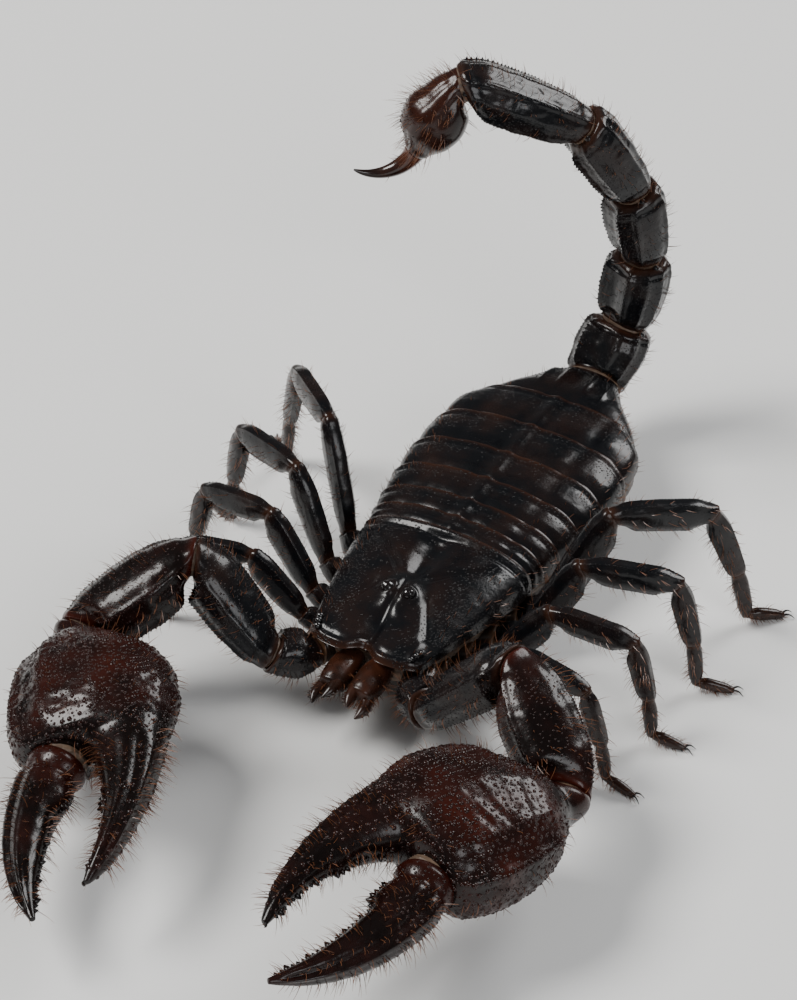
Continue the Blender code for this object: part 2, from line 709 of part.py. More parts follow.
def main():
    for old in list(bpy.data.objects):
        bpy.data.objects.remove(old)
    bpy.context.scene.collection.children.link(bpy.data.collections.new("Cutters"))
    coats = finishes()
    shell = carapace(coats["shell"])
    eyes(shell, coats["eye"])
    underside(coats["belly"])
    operculum(coats["belly"])
    back = CARAPACE_LENGTH
    for number, length in enumerate(TERGITE_LENGTHS):
        back_plate(f"tergite_{number + 1}", back, back + length, coats["shell"])
        back += length
    back = TRUNK_LENGTH - sum(STERNITE_LENGTHS)
    for number, length in enumerate(STERNITE_LENGTHS):
        belly_plate(f"sternite_{number + 3}", back, back + length, coats["belly"])
        back += length
    tail(coats)
    for name, sign, angles in (("left", 1, LEFT_ARM), ("right", -1, RIGHT_ARM)):
        pecten(name, sign, coats["comb"])
        arm(name, sign, angles, coats)
        chelicera(name, sign, coats["jaw"])
        for number, sizes in enumerate(LEGS):
            leg(f"{name}_{number + 1}", sign, *sizes, coats["shell"])
    settle()


main()
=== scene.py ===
"""A life-size emperor scorpion in its studio: plates, limbs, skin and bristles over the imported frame.

The animal faces -Y and its left side is +X. Shapes are worked out in millimetres, with Y counted back
from the front edge of the carapace and Z up from the floor. Maker moves them into the frame.
"""

import logging
import math
from collections.abc import Callable, Sequence
from dataclasses import dataclass, field
from enum import Enum
from itertools import zip_longest

import bmesh
import bpy
import numpy as np
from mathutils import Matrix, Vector, kdtree, noise

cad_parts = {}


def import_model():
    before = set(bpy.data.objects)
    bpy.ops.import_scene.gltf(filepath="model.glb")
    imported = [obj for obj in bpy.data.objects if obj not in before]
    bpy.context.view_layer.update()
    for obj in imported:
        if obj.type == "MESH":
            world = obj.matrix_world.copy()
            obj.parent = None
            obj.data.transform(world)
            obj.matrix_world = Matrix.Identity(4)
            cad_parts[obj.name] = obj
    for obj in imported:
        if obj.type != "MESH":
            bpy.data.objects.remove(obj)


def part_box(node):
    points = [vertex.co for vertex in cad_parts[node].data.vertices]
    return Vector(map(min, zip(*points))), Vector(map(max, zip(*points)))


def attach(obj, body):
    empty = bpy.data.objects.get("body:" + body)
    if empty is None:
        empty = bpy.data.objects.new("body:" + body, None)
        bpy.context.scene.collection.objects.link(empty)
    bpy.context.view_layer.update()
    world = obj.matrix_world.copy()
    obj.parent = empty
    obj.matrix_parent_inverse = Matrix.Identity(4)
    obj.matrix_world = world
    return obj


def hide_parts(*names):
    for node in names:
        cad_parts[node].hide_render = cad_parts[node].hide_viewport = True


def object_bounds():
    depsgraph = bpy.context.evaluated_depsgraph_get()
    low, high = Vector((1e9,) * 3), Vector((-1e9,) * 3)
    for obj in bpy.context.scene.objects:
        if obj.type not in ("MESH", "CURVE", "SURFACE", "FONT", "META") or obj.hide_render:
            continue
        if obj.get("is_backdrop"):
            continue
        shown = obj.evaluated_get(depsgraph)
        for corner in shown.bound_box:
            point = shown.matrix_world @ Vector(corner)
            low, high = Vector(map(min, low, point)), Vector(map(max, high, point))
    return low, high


Array = np.ndarray
Mesh = bpy.types.Mesh
Material = bpy.types.Material
Object = bpy.types.Object
Socket = bpy.types.NodeSocket
Tree = bpy.types.NodeTree
Pair = tuple[float, float]
Triple = tuple[float, float, float]
Rows = Sequence[Sequence[float]]
# A value for each place on a surface, from where it lies along and round it
Pattern = Callable[[Array, Array], Array]

log = logging.getLogger("scorpion")

MM = 0.001
UP = np.array((0.0, 0.0, 1.0))
AHEAD = np.array((0.0, -1.0, 0.0))
LEFT = np.array((1.0, 0.0, 0.0))
SIDES = (("left", 1), ("right", -1))
HAIR_PATCH = 0.003  # The size of one hair's patch on the bristles' map
END_ROWS = 4  # Rows that round off each end of a limb
TAIL_LEAN = math.radians(22)  # How far the trunk's end faces up the tail
HIP_HEIGHT = 7.8  # Where the legs leave their bases


# Numbers and directions


def eased(share: Array | float) -> Array:
    """A share that starts and ends level, held between 0 and 1."""
    share = np.clip(share, 0.0, 1.0)
    return share * share * (3 - 2 * share)


def hill(distance: Array | float, width: float) -> Array:
    """1 at no distance, falling smoothly to 0 a few widths away."""
    return np.exp(-((np.asarray(distance) / width) ** 2))


def within(place: Array, start: float, rise: float, end: float, fall: float) -> Array:
    """Rises from 0 to 1 over rise from the start on, and falls back to 0 over fall before the end."""
    return eased((place - start) / rise) * eased((end - place) / fall)


def twin_hills(across: Array, at: float, width: float) -> Array:
    """A hill on each side of the middle, so far from it."""
    return hill(np.abs(across) - at, width)


def near_turn(turns: Array, at: float, width: float) -> Array:
    """1 at one turn round a limb, falling to 0 a few widths of degrees away."""
    return hill((turns - at + 180) % 360 - 180, width)


def below_side(turns: Array) -> Array:
    """How many degrees round a limb each turn is from the middle of its under side."""
    return np.abs((turns - 90) % 360 - 180)


def ridged(turns: Array, *ridges: Sequence[float]) -> Array:
    """The relief of ridges round a limb, each a height, the turn that it lies at and a width in degrees."""
    return sum(height * near_turn(turns, at, width) for height, at, width in ridges)


def between(low: Array | float, high: Array | float, share: Array | float) -> Array:
    """The value a share of the way from low to high."""
    return low + (high - low) * share


def evenly(count: int) -> Array:
    """Shares from 0 to 1 in even steps."""
    return np.linspace(0, 1, count)


def joined(*parts: Array | float) -> Array:
    """The parts side by side, as the coordinates of a point or the sizes of a section."""
    return np.stack(np.broadcast_arrays(*parts), axis=-1)


def point(*parts: float) -> Array:
    """One place, direction or row of sizes."""
    return np.array(parts, float)


def unit(direction: Array) -> Array:
    """The direction at length 1, or each direction of an array."""
    return direction / np.maximum(np.linalg.norm(direction, axis=-1, keepdims=True), 1e-12)


def across_face(direction: Array, face: Array) -> Array:
    """The part of each direction that lies across face, at length 1."""
    return unit(direction - face * np.sum(direction * face, axis=-1, keepdims=True))


def heading(sign: float, outwards: float, lift: float) -> Array:
    """The direction so many degrees outwards and upwards from straight ahead. Sign 1 is to the left."""
    out, up = math.radians(outwards), math.radians(lift)
    return point(sign * math.sin(out) * math.cos(up), -math.cos(out) * math.cos(up), math.sin(up))


def turned(first: Array, second: Array, degrees: float) -> Array:
    """The direction so many degrees from the first towards the second."""
    turn = math.radians(degrees)
    return first * math.cos(turn) + second * math.sin(turn)


def smooth_table(rows: Rows, places: Array) -> Array:
    """Reads a table at any places, on curves that never overshoot a row.

    Args:
        rows: A place and its sizes in each row.
        places: Where to read it.

    Returns:
        The sizes at each place.
    """
    table = np.asarray(rows, float)
    knots, sizes = table[:, 0], table[:, 1:]
    gaps = np.diff(knots)[:, None]
    slopes = np.diff(sizes, axis=0) / gaps
    before, after = slopes[:-1], slopes[1:]
    same_way = before * after > 0
    tangents = np.concatenate((slopes[:1], 2 * before * after * same_way, slopes[-1:]))
    tangents[1:-1] /= np.where(same_way, before + after, 1.0)
    span = np.clip(np.searchsorted(knots, places, side="right") - 1, 0, len(knots) - 2)
    share = np.clip((places - knots[span]) / gaps[span, 0], 0, 1)[:, None]
    bend = (1 - share) * tangents[span] - share * tangents[span + 1]
    return between(sizes[span], sizes[span + 1], eased(share)) + gaps[span] * share * (1 - share) * bend


def uneven(points: Array, size: float, seed: float = 0.0) -> Array:
    """Smooth random values from about -1 to 1 at each point, unlike where they are size apart."""
    flat = (points / size + seed * 13.7).reshape(-1, 3).tolist()
    return np.array([noise.noise(place) for place in flat]).reshape(points.shape[:-1])


# Surfaces


@dataclass
class Surface:
    """Points over a shape in millimetres, by row along its length and column round it.

    Each row lies at a share of the length. Each column lies at a turn, in degrees round a limb or as the
    distance across a plate, and the last meets the first on a closed one. It faces away from its core.
    """

    points: Array
    shares: Array
    turns: Array
    closed: bool = True
    core: Array | None = None

    def normals(self) -> Array:
        """The outward direction at each point.

        Returns:
            Directions of length 1, by row and column.
        """
        along = np.gradient(self.points, axis=0)
        if self.closed:
            sideways = np.roll(self.points, -1, 1) - np.roll(self.points, 1, 1)
        else:
            sideways = np.gradient(self.points, axis=1)
        normals = unit(np.cross(along, sideways))
        core = self.points.mean(axis=1) if self.core is None else self.core
        facing = np.sum(normals * (self.points - core[:, None]))
        return normals if facing > 0 else -normals

    def raised(self, heights: Array) -> "Surface":
        """The same surface, lifted outwards by heights in millimetres."""
        self.points = self.points + self.normals() * heights[..., None]
        return self

    def relief(self, shape: Pattern) -> "Surface":
        """Lifts the surface by a height that depends on where along and round it a point is."""
        shares, turns = np.meshgrid(self.shares, self.turns, indexing="ij")
        return self.raised(shape(shares, turns))

    def thick(self, depth: float) -> "Surface":
        """A closed plate, rounded all round its edge.

        Args:
            depth: Its thickness in millimetres.

        Returns:
            The closed surface.
        """
        rim = 3  # Rows and columns over which the edge is rounded
        counts = (np.arange(size) for size in self.points.shape[:2])
        down, across = (np.minimum(count, count[::-1]) for count in counts)
        nearness = np.clip(np.minimum(down[:, None], across) / rim, 0, 1)
        depths = depth * np.sqrt(1 - (1 - nearness) ** 2)
        inner = self.points - self.normals() * depths[..., None]
        whole = np.concatenate((self.points, inner[:, -2:0:-1]), axis=1)
        turns = np.concatenate((self.turns, self.turns[-2:0:-1]))
        core = (self.points + inner).mean(axis=1) / 2
        return Surface(whole, self.shares, turns, True, core)

    def at(self, rows: Array, columns: Array) -> tuple[Array, Array]:
        """Reads the surface at places that may lie between its rows and columns.

        Args:
            rows, columns: The places.

        Returns:
            Their points and outward directions.
        """
        normals = self.normals()
        row = np.clip(rows.astype(int), 0, len(self.points) - 2)
        count = self.points.shape[1]
        column = columns.astype(int)
        down, over = (rows - row)[:, None], (columns - column)[:, None]
        following = (column + 1) % count if self.closed else np.minimum(column + 1, count - 1)
        column = column % count

        def read(grid: Array) -> Array:
            """The grid's values between its four nearest points."""
            near = between(grid[row, column], grid[row, following], over)
            far = between(grid[row + 1, column], grid[row + 1, following], over)
            return between(near, far, down)

        return read(self.points), unit(read(normals))

    def along_line(self, turn: float, shares: Array) -> tuple[Array, Array]:
        """Reads the surface along a line.

        Args:
            turn: Where the line lies round it.
            shares: How far along the line each place is.

        Returns:
            Their points and outward directions.
        """
        count = len(self.turns)
        column = turn / 360 * count % count
        if not self.closed:
            column = np.interp(-turn, -self.turns, np.arange(count))
        rows = np.interp(shares, self.shares, np.arange(len(self.shares)))
        return self.at(rows, np.full(len(shares), column))

    def scattered(self, count: int, chance: Pattern, apart: float, seed: int) -> tuple[Array, ...]:
        """Random places on the surface.

        Args:
            count: The most places to give.
            chance: How likely each place is.
            apart: The least distance between two places, or 0.
            seed: Gives another set of places.

        Returns:
            The points, their outward directions, and where they lie on a flat map.
        """
        draw = np.random.default_rng(seed)
        columns = self.points.shape[1] if self.closed else self.points.shape[1] - 1
        following = np.roll(self.points, -1, 1)
        widths = np.linalg.norm(following - self.points, axis=2)[:-1, :columns]
        lengths = np.linalg.norm(np.diff(self.points, axis=0), axis=2)[:, :columns]
        shares, turns = np.meshgrid(self.shares[:-1], self.turns[:columns], indexing="ij")
        weights = (widths * lengths * np.clip(chance(shares, turns), 0, None)).ravel()
        tries = count * (3 if apart else 1)
        picks = draw.choice(len(weights), tries, p=weights / weights.sum())
        rows = picks // columns + draw.random(tries)
        across = picks % columns + draw.random(tries)
        places, normals = self.at(rows, across)
        map_places = joined(across / columns, rows / (len(self.points) - 1))
        kept = spread_out(places, apart)[:count] if apart else slice(None)
        return places[kept], normals[kept], map_places[kept]


def spread_out(places: Array, apart: float) -> list[int]:
    """Thins places out.

    Args:
        places: The places.
        apart: The least distance between two that stay.

    Returns:
        The numbers of those that stay.
    """
    tree = kdtree.KDTree(len(places))
    for number, place in enumerate(places):
        tree.insert(place, number)
    tree.balance()
    kept: list[int] = []
    crowded: set[int] = set()
    for number, place in enumerate(places):
        if number not in crowded:
            kept.append(number)
            crowded.update(near[1] for near in tree.find_range(place, apart))
    return kept


def rings(
    spine: Array, side: Array, upper: Array, sizes: Array,
    sides: int, boxiness: float, domes: Pair, shares: Array | None = None,
) -> Surface:
    """A limb's surface: flattened round sections along a line, rounded off at both ends.

    Args:
        spine: The middle of each section.
        side, upper: The sections' side and upper directions, or one for each.
        sizes: Each section's half width, rise and drop, or its radius.
        sides: How many points go round a section.
        boxiness: 2 for round sections and more for squarer ones.
        domes: How far each end bulges.
        shares: How far along each section lies, or None for even steps.

    Returns:
        The closed surface.
    """
    arc = np.radians(np.arange(END_ROWS) * 24)
    steps, bulges = np.sin(arc), np.cos(arc)
    shares = evenly(len(spine)) if shares is None else shares
    sizes = joined(sizes, sizes, sizes) if sizes.ndim == 1 else sizes
    side, upper = np.broadcast_to(side, spine.shape), np.broadcast_to(upper, spine.shape)
    first, last = unit(spine[1] - spine[0]), unit(spine[-1] - spine[-2])
    head = spine[0] - first * domes[0] * bulges[:, None]
    foot = spine[-1] + last * domes[1] * bulges[::-1, None]
    spine = np.concatenate((head, spine, foot))
    side, upper = (np.pad(ways, ((END_ROWS, END_ROWS), (0, 0)), mode="edge") for ways in (side, upper))
    sizes = np.concatenate((sizes[0] * steps[:, None], sizes, sizes[-1] * steps[::-1, None]))
    shares = np.pad(shares, END_ROWS, mode="edge")
    turns = np.arange(sides) * 360 / sides
    around = np.stack((np.cos(np.radians(turns)), np.sin(np.radians(turns))))
    flat, high = np.sign(around) * np.abs(around) ** (2 / boxiness)
    half, rise, drop = sizes.T[..., None, None]
    reach = np.where(high[:, None] > 0, rise, drop) * high[:, None]
    points = spine[:, None] + side[:, None] * half * flat[:, None] + upper[:, None] * reach
    return Surface(points, shares, turns, True, spine)


# Finishes


class Slot(Enum):
    """The material slots."""

    SHELL = "shell"
    CLAW = "claw"
    BELLY = "belly"
    JAW = "jaw"
    TELSON = "telson"
    STING = "sting"
    EYE = "eye"
    COMB = "comb"
    MEMBRANE = "membrane"
    HAIR = "hair"


@dataclass
class Nodes:
    """A node tree, with short ways to fill it."""

    tree: Tree

    def feed(self, socket: Socket, value: object) -> None:
        """Links another socket to an input, or sets a plain number or colour there."""
        if isinstance(value, Socket):
            self.tree.links.new(value, socket)
        else:
            socket.default_value = (*value, 1) if isinstance(value, tuple) else value

    def fill(self, node: bpy.types.Node, **values: object) -> bpy.types.Node:
        """Fills a node in.

        Args:
            node: The node.
            values: Its inputs, which start with a capital and have underscores for spaces, and its settings.

        Returns:
            The same node.
        """
        for label, value in values.items():
            if label[0].isupper():
                self.feed(node.inputs[label.replace("_", " ")], value)
            else:
                setattr(node, label, value)
        return node

    def add(self, kind: str, **values: object) -> bpy.types.Node:
        """A new shader node of a kind, filled in with its values."""
        return self.fill(self.tree.nodes.new(f"ShaderNode{kind}"), **values)

    def maths(self, step: str, *values: object, clamp: bool = False) -> Socket:
        """The output of a new Math node.

        Args:
            step: What it does.
            values: The numbers or sockets that it reads.
            clamp: Whether its result is held between 0 and 1.

        Returns:
            Its result.
        """
        node = self.add("Math", operation=step, use_clamp=clamp)
        for socket, value in zip(node.inputs, values):
            self.feed(socket, value)
        return node.outputs[0]

    def times(self, value: object, factor: object, plus: object = 0.0, clamp: bool = False) -> Socket:
        """A value times a factor, plus another value."""
        return self.maths("MULTIPLY_ADD", value, factor, plus, clamp=clamp)

    def blend(self, share: Socket, *colours: object) -> Socket:
        """The colour a share of the way from the first to the second."""
        node = self.add("Mix", data_type="RGBA", Factor=share)
        for number, colour in zip((6, 7), colours):
            self.feed(node.inputs[number], colour)
        return node.outputs[2]


class Recipe(Nodes):
    """A node group that turns a place into a colour, a roughness and a height."""

    def __init__(self, name: str, colours: Sequence[str], values: Sequence[str]) -> None:
        """Starts the group.

        Args:
            name: Its name.
            colours, values: The names of its colour and number inputs.
        """
        super().__init__(bpy.data.node_groups.new(name, "ShaderNodeTree"))
        inputs = {"Place": "Vector"} | dict.fromkeys(colours, "Color") | dict.fromkeys(values, "Float")
        outputs = {"Color": "Color", "Roughness": "Float", "Height": "Float"}
        for way, sockets in (("INPUT", inputs), ("OUTPUT", outputs)):
            for label, kind in sockets.items():
                self.tree.interface.new_socket(label, in_out=way, socket_type=f"NodeSocket{kind}")
        self.read = self.tree.nodes.new("NodeGroupInput").outputs

    def texture(self, kind: str, **values: object) -> Socket:
        """The pattern of a new texture at the group's place. A wave's comes after its colour."""
        return self.add(f"Tex{kind}", Vector=self.read["Place"], **values).outputs[kind == "Wave"]

    def done(self, *results: Socket) -> Tree:
        """Puts out the colour, roughness and height, and returns the group."""
        for socket, result in zip(self.tree.nodes.new("NodeGroupOutput").inputs, results):
            self.feed(socket, result)
        return self.tree


def cuticle_group() -> Tree:
    """The look of hard shell: cloudy colour, warmer thin edges, fine grain, fine ripples, and small sunk pits
    that are painted darker as painted shade.

    Returns:
        The node group.
    """
    mix = Recipe("cuticle", ("Deep", "Warm"), ("Edge", "Grain Scale", "Grain Depth", "Base Roughness"))
    read, scale = mix.read, mix.read["Grain Scale"]
    cloud = mix.times(mix.texture("Noise", Scale=130.0, Detail=5.0, Roughness=0.6), 2.6, -1.15)
    fine = mix.texture("Noise", Scale=mix.times(scale, 2.3), Detail=4.0)
    cells = mix.texture("Voronoi", Scale=scale, feature="SMOOTH_F1")
    # Small pits, sunk in the relief below and painted near black in the colour: painted shade in recesses
    shaded_pits = mix.maths("LESS_THAN", mix.texture("Voronoi", Scale=mix.times(scale, 0.31)), 0.09)
    ripples = mix.texture("Noise", Scale=715.0, Detail=2.0)
    warmth = mix.times(cloud, 0.45, mix.times(read["Edge"], 0.85), clamp=True)
    colour = mix.blend(warmth, read["Deep"], read["Warm"])
    # Darkens the colour inside the sunk pits: painted shade
    shaded = mix.blend(mix.times(shaded_pits, 0.5), colour, (0.005, 0.004, 0.004))
    worn = mix.times(cloud, 0.10, read["Base Roughness"])
    rough = mix.maths("ADD", worn, mix.times(fine, 0.22, -0.11), clamp=True)
    grain = mix.times(mix.maths("SUBTRACT", 1.0, cells), read["Grain Depth"])
    rippled = mix.times(ripples, 1.1, mix.times(shaded_pits, -0.3, grain))
    return mix.done(shaded, rough, mix.times(fine, 0.12, rippled))


def skin_group() -> Tree:
    """The look of soft skin: a blotched colour, and fine folds that run round the body, whose troughs are
    painted darker as painted shade.

    Returns:
        The node group.
    """
    mix = Recipe("soft_skin", ("Deep", "Pale"), ("Fold Scale",))
    read, folded = mix.read, {"Distortion": 5.0, "Detail": 3.0, "bands_direction": "Z"}
    blotches = mix.texture("Noise", Scale=420.0, Detail=4.0)
    shaded_folds = mix.texture("Wave", Scale=read["Fold Scale"], **folded)
    creases = mix.texture("Voronoi", Scale=2600.0, feature="SMOOTH_F1")
    # The colour is deeper where the folds sink in the relief: painted shade in their troughs
    share = mix.times(mix.times(blotches, 1.8, -0.4, clamp=True), mix.times(shaded_folds, 0.6, 0.4))
    colour = mix.blend(share, read["Deep"], read["Pale"])
    return mix.done(colour, mix.times(blotches, 0.2, 0.45), mix.times(creases, 0.5, shaded_folds))


def dressed(name: str, tree: Tree, bump: float, gloss: dict[str, float], **values: object) -> Material:
    """A material that takes its colour, roughness and relief from a node group.

    Args:
        name: The material's name.
        tree: The node group.
        bump: How far its relief stands out, in millimetres, or 0 for none.
        gloss: The shader's own inputs, with underscores for spaces.
        values: The group's inputs, with underscores for spaces.

    Returns:
        The material.
    """
    material = bpy.data.materials.new(name)
    material.use_nodes = True
    nodes = Nodes(material.node_tree)
    look = nodes.add("Group", node_tree=tree)
    nodes.fill(look, Place=nodes.add("TexCoord").outputs["Object"], **values)
    if "Edge" in look.inputs:
        nodes.fill(look, Edge=nodes.add("Attribute", attribute_name="edge").outputs["Fac"])
    shader = nodes.tree.nodes["Principled BSDF"]
    nodes.fill(shader, Base_Color=look.outputs["Color"], Roughness=look.outputs["Roughness"], **gloss)
    if bump:
        relief = nodes.add("Bump", Distance=bump * MM, Height=look.outputs["Height"])
        nodes.fill(shader, Normal=relief.outputs["Normal"])
    return material


class Finish:
    """What a piece is made of."""

    slot: Slot

    @property
    def label(self) -> str:
        """The material's name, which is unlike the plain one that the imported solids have."""
        return f"{self.slot.value}_finish"

    def mixed(self) -> Material:
        """The finish as a new material."""
        raise NotImplementedError

    def material(self) -> Material:
        """The finish as a material, made once."""
        return bpy.data.materials.get(self.label) or self.mixed()


@dataclass(frozen=True)
class Cuticle(Finish):
    """Hard shell, deep in colour and warmer at thin edges, with a coat of clear gloss.

    Its fine grains are grain millimetres apart and stand out by depth, and its relief by bump millimetres.
    """

    slot: Slot
    deep: Triple
    warm: Triple
    roughness: float
    coat: float
    depth: float
    bump: float
    grain: float = 0.35

    def mixed(self) -> Material:
        """The finish as a new material."""
        tree = bpy.data.node_groups.get("cuticle") or cuticle_group()
        gloss = {"Specular_IOR_Level": 0.26, "Coat_Weight": self.coat, "Coat_Roughness": 0.1}
        look = {"Deep": self.deep, "Warm": self.warm, "Base_Roughness": self.roughness}
        look |= {"Grain_Scale": 1 / (self.grain * MM), "Grain_Depth": self.depth}
        return dressed(self.label, tree, self.bump, gloss, **look)


@dataclass(frozen=True)
class SoftSkin(Finish):
    """The soft skin between plates and at joints."""

    slot: Slot = Slot.MEMBRANE
    deep: Triple = (0.050, 0.030, 0.020)
    pale: Triple = (0.230, 0.150, 0.095)

    def mixed(self) -> Material:
        """The finish as a new material."""
        return dressed(self.label, skin_group(), 0.12, {}, Deep=self.deep, Pale=self.pale, Fold_Scale=260.0)


@dataclass(frozen=True)
class Bristle(Finish):
    """Stiff hair, darker at its root than at its tip."""

    slot: Slot = Slot.HAIR
    root: Triple = (0.060, 0.020, 0.010)
    tip: Triple = (0.300, 0.115, 0.048)

    def mixed(self) -> Material:
        """The finish as a new material."""
        mix = Recipe("bristle", ("Root", "Tip"), ("Edge",))
        streaks = mix.texture("Noise", Scale=900.0)
        share = mix.maths("ADD", mix.times(streaks, 0.7, -0.35), mix.read["Edge"], clamp=True)
        colour = mix.blend(share, mix.read["Root"], mix.read["Tip"])
        tree = mix.done(colour, mix.times(streaks, 0.2, 0.25), streaks)
        return dressed(self.label, tree, 0.0, {}, Root=self.root, Tip=self.tip)


SHELL = Cuticle(Slot.SHELL, (0.0042, 0.0045, 0.0056), (0.034, 0.013, 0.007), 0.22, 0.12, 0.16, 0.05)
CLAW = Cuticle(Slot.CLAW, (0.0042, 0.0019, 0.0016), (0.044, 0.0070, 0.0032), 0.24, 0.12, 0.3, 0.05)
BELLY = Cuticle(Slot.BELLY, (0.020, 0.012, 0.0085), (0.120, 0.060, 0.030), 0.30, 0.3, 0.25, 0.08)
JAW = Cuticle(Slot.JAW, (0.011, 0.0050, 0.0032), (0.080, 0.0230, 0.0105), 0.26, 0.2, 0.2, 0.05)
TELSON = Cuticle(Slot.TELSON, (0.008, 0.0029, 0.0022), (0.052, 0.0125, 0.0055), 0.22, 0.2, 0.2, 0.05)
STING = Cuticle(Slot.STING, (0.010, 0.005, 0.004), (0.090, 0.026, 0.012), 0.20, 0.7, 0.1, 0.02)
EYE = Cuticle(Slot.EYE, (0.004, 0.004, 0.005), (0.030, 0.014, 0.008), 0.05, 1.0, 0.0, 0.0)
COMB = Cuticle(Slot.COMB, (0.200, 0.110, 0.055), (0.400, 0.260, 0.140), 0.42, 0.1, 0.3, 0.08)
SKIN = SoftSkin()
HAIR = Bristle()


# Making pieces


def linked(name: str, data: bpy.types.ID) -> Object:
    """A new object of this data in the scene."""
    made = bpy.data.objects.new(name, data)
    bpy.context.scene.collection.objects.link(made)
    return made


def numbers(values: bpy.types.bpy_prop_collection, label: str, size: int) -> Array:
    """Reads one value of each thing in a mesh, as rows of size numbers."""
    flat = np.empty(len(values) * size)
    values.foreach_get(label, flat)
    return flat.reshape(-1, size)


def marked(data: Mesh, values: Array) -> None:
    """Stores on a mesh how thin, worn or far from its root each point is."""
    layer = data.attributes.new("edge", "FLOAT", "POINT")
    layer.data.foreach_set("value", values.astype(np.float32).ravel())


@dataclass
class Maker:
    """Turns surfaces into finished pieces. The animal's own origin lies at offset, in metres."""

    offset: Array

    def put(self, data: Mesh, points: Array, edge: Array) -> None:
        """Moves a mesh's points to places in millimetres, and marks their edge values."""
        data.vertices.foreach_set("co", (points * MM + self.offset).ravel())
        marked(data, edge)

    def grid(self, surface: Surface, edge: Array | float) -> Mesh:
        """Draws a grid onto a closed surface, and merges its seam and poles.

        Args:
            surface: The surface.
            edge: How thin or worn each of its places is.

        Returns:
            The mesh.
        """
        rows, columns = surface.points.shape[:2]
        mesh = bmesh.new()
        mesh.loops.layers.uv.new("Surface")
        bmesh.ops.create_grid(mesh, x_segments=columns, y_segments=rows - 1, size=0.5, calc_uvs=True)
        data = bpy.data.meshes.new("grid")
        mesh.to_mesh(data)
        flat = numbers(data.vertices, "co", 3) + 0.5
        column = np.rint(flat[:, 0] * columns).astype(int) % columns
        row = np.rint(flat[:, 1] * (rows - 1)).astype(int)
        self.put(data, surface.points[row, column], np.broadcast_to(edge, (rows, columns))[row, column])
        mesh.clear()
        mesh.from_mesh(data)
        bmesh.ops.remove_doubles(mesh, verts=mesh.verts, dist=2e-7)
        bmesh.ops.recalc_face_normals(mesh, faces=mesh.faces)
        mesh.to_mesh(data)
        mesh.free()
        return data

    def piece(
        self, name: str, surfaces: Sequence[Surface], finish: Finish, replaces: Sequence[str] = (),
        edges: Sequence[Array | float] = (), sharp: float = 40.0,
    ) -> Object:
        """One finished piece from closed surfaces.

        Args:
            name: The piece's name.
            surfaces: What it is made of.
            finish: Its finish.
            replaces: The CAD nodes that it stands for.
            edges: How thin or worn the first surfaces are, from 0 to 1.
            sharp: The angle in degrees past which an edge stays sharp.

        Returns:
            The piece.
        """
        whole = bmesh.new()
        for surface, edge in zip_longest(surfaces, edges, fillvalue=0.0):
            data = self.grid(surface, edge)
            whole.from_mesh(data)
            bpy.data.meshes.remove(data)
        data = bpy.data.meshes.new(name)
        whole.to_mesh(data)
        whole.free()
        return self.finished(data, name, finish, replaces, sharp)

    def finished(
        self, data: Mesh, name: str, finish: Finish, replaces: Sequence[str] = (), sharp: float = 80.0
    ) -> Object:
        """Links a mesh as a piece that rides on the frame.

        Args:
            data: The mesh.
            name, finish, replaces, sharp: As in piece.

        Returns:
            The piece.
        """
        data.shade_smooth()
        data.set_sharp_from_angle(angle=math.radians(sharp))
        data.materials.clear()
        data.materials.append(finish.material())
        made = linked(name, data)
        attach(made, "root")
        if replaces:
            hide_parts(*replaces)
        log.info("%s: %d faces", name, len(data.polygons))
        return made


@dataclass
class Gathered:
    """Small copies of one shape, gathered from several surfaces and made as one mesh."""

    maker: Maker
    rows: list[tuple[Array, ...]] = field(default_factory=list)

    def together(self) -> list[Array]:
        """What was gathered, as one array for each kind of value."""
        return [np.concatenate(part) for part in zip(*self.rows)]

    def copied(self, seed: bmesh.types.BMesh, count: int) -> tuple[Mesh, Array]:
        """Copies a shape many times over, by an array.

        Args:
            seed: The shape.
            count: How many copies there are.

        Returns:
            The mesh of all the copies, and each one's points.
        """
        template = bpy.data.meshes.new("template")
        seed.to_mesh(template)
        seed.free()
        holder = linked("array", template)
        row = holder.modifiers.new("copies", "ARRAY")
        row.count = count
        row.use_relative_offset = False
        graph = bpy.context.evaluated_depsgraph_get()
        made = bpy.data.meshes.new_from_object(holder.evaluated_get(graph))
        bpy.data.objects.remove(holder)
        return made, numbers(made.vertices, "co", 3).reshape(count, -1, 3)

    def across(self, ways: Array, aside: Array) -> Array:
        """Each copy's points off its own axis, from how far aside they lie in two directions."""
        hint = np.where(np.abs(ways[:, 2:]) < 0.9, UP, AHEAD)
        first = across_face(hint, ways)
        return first[:, None] * aside[..., :1] + np.cross(ways, first)[:, None] * aside[..., 1:]


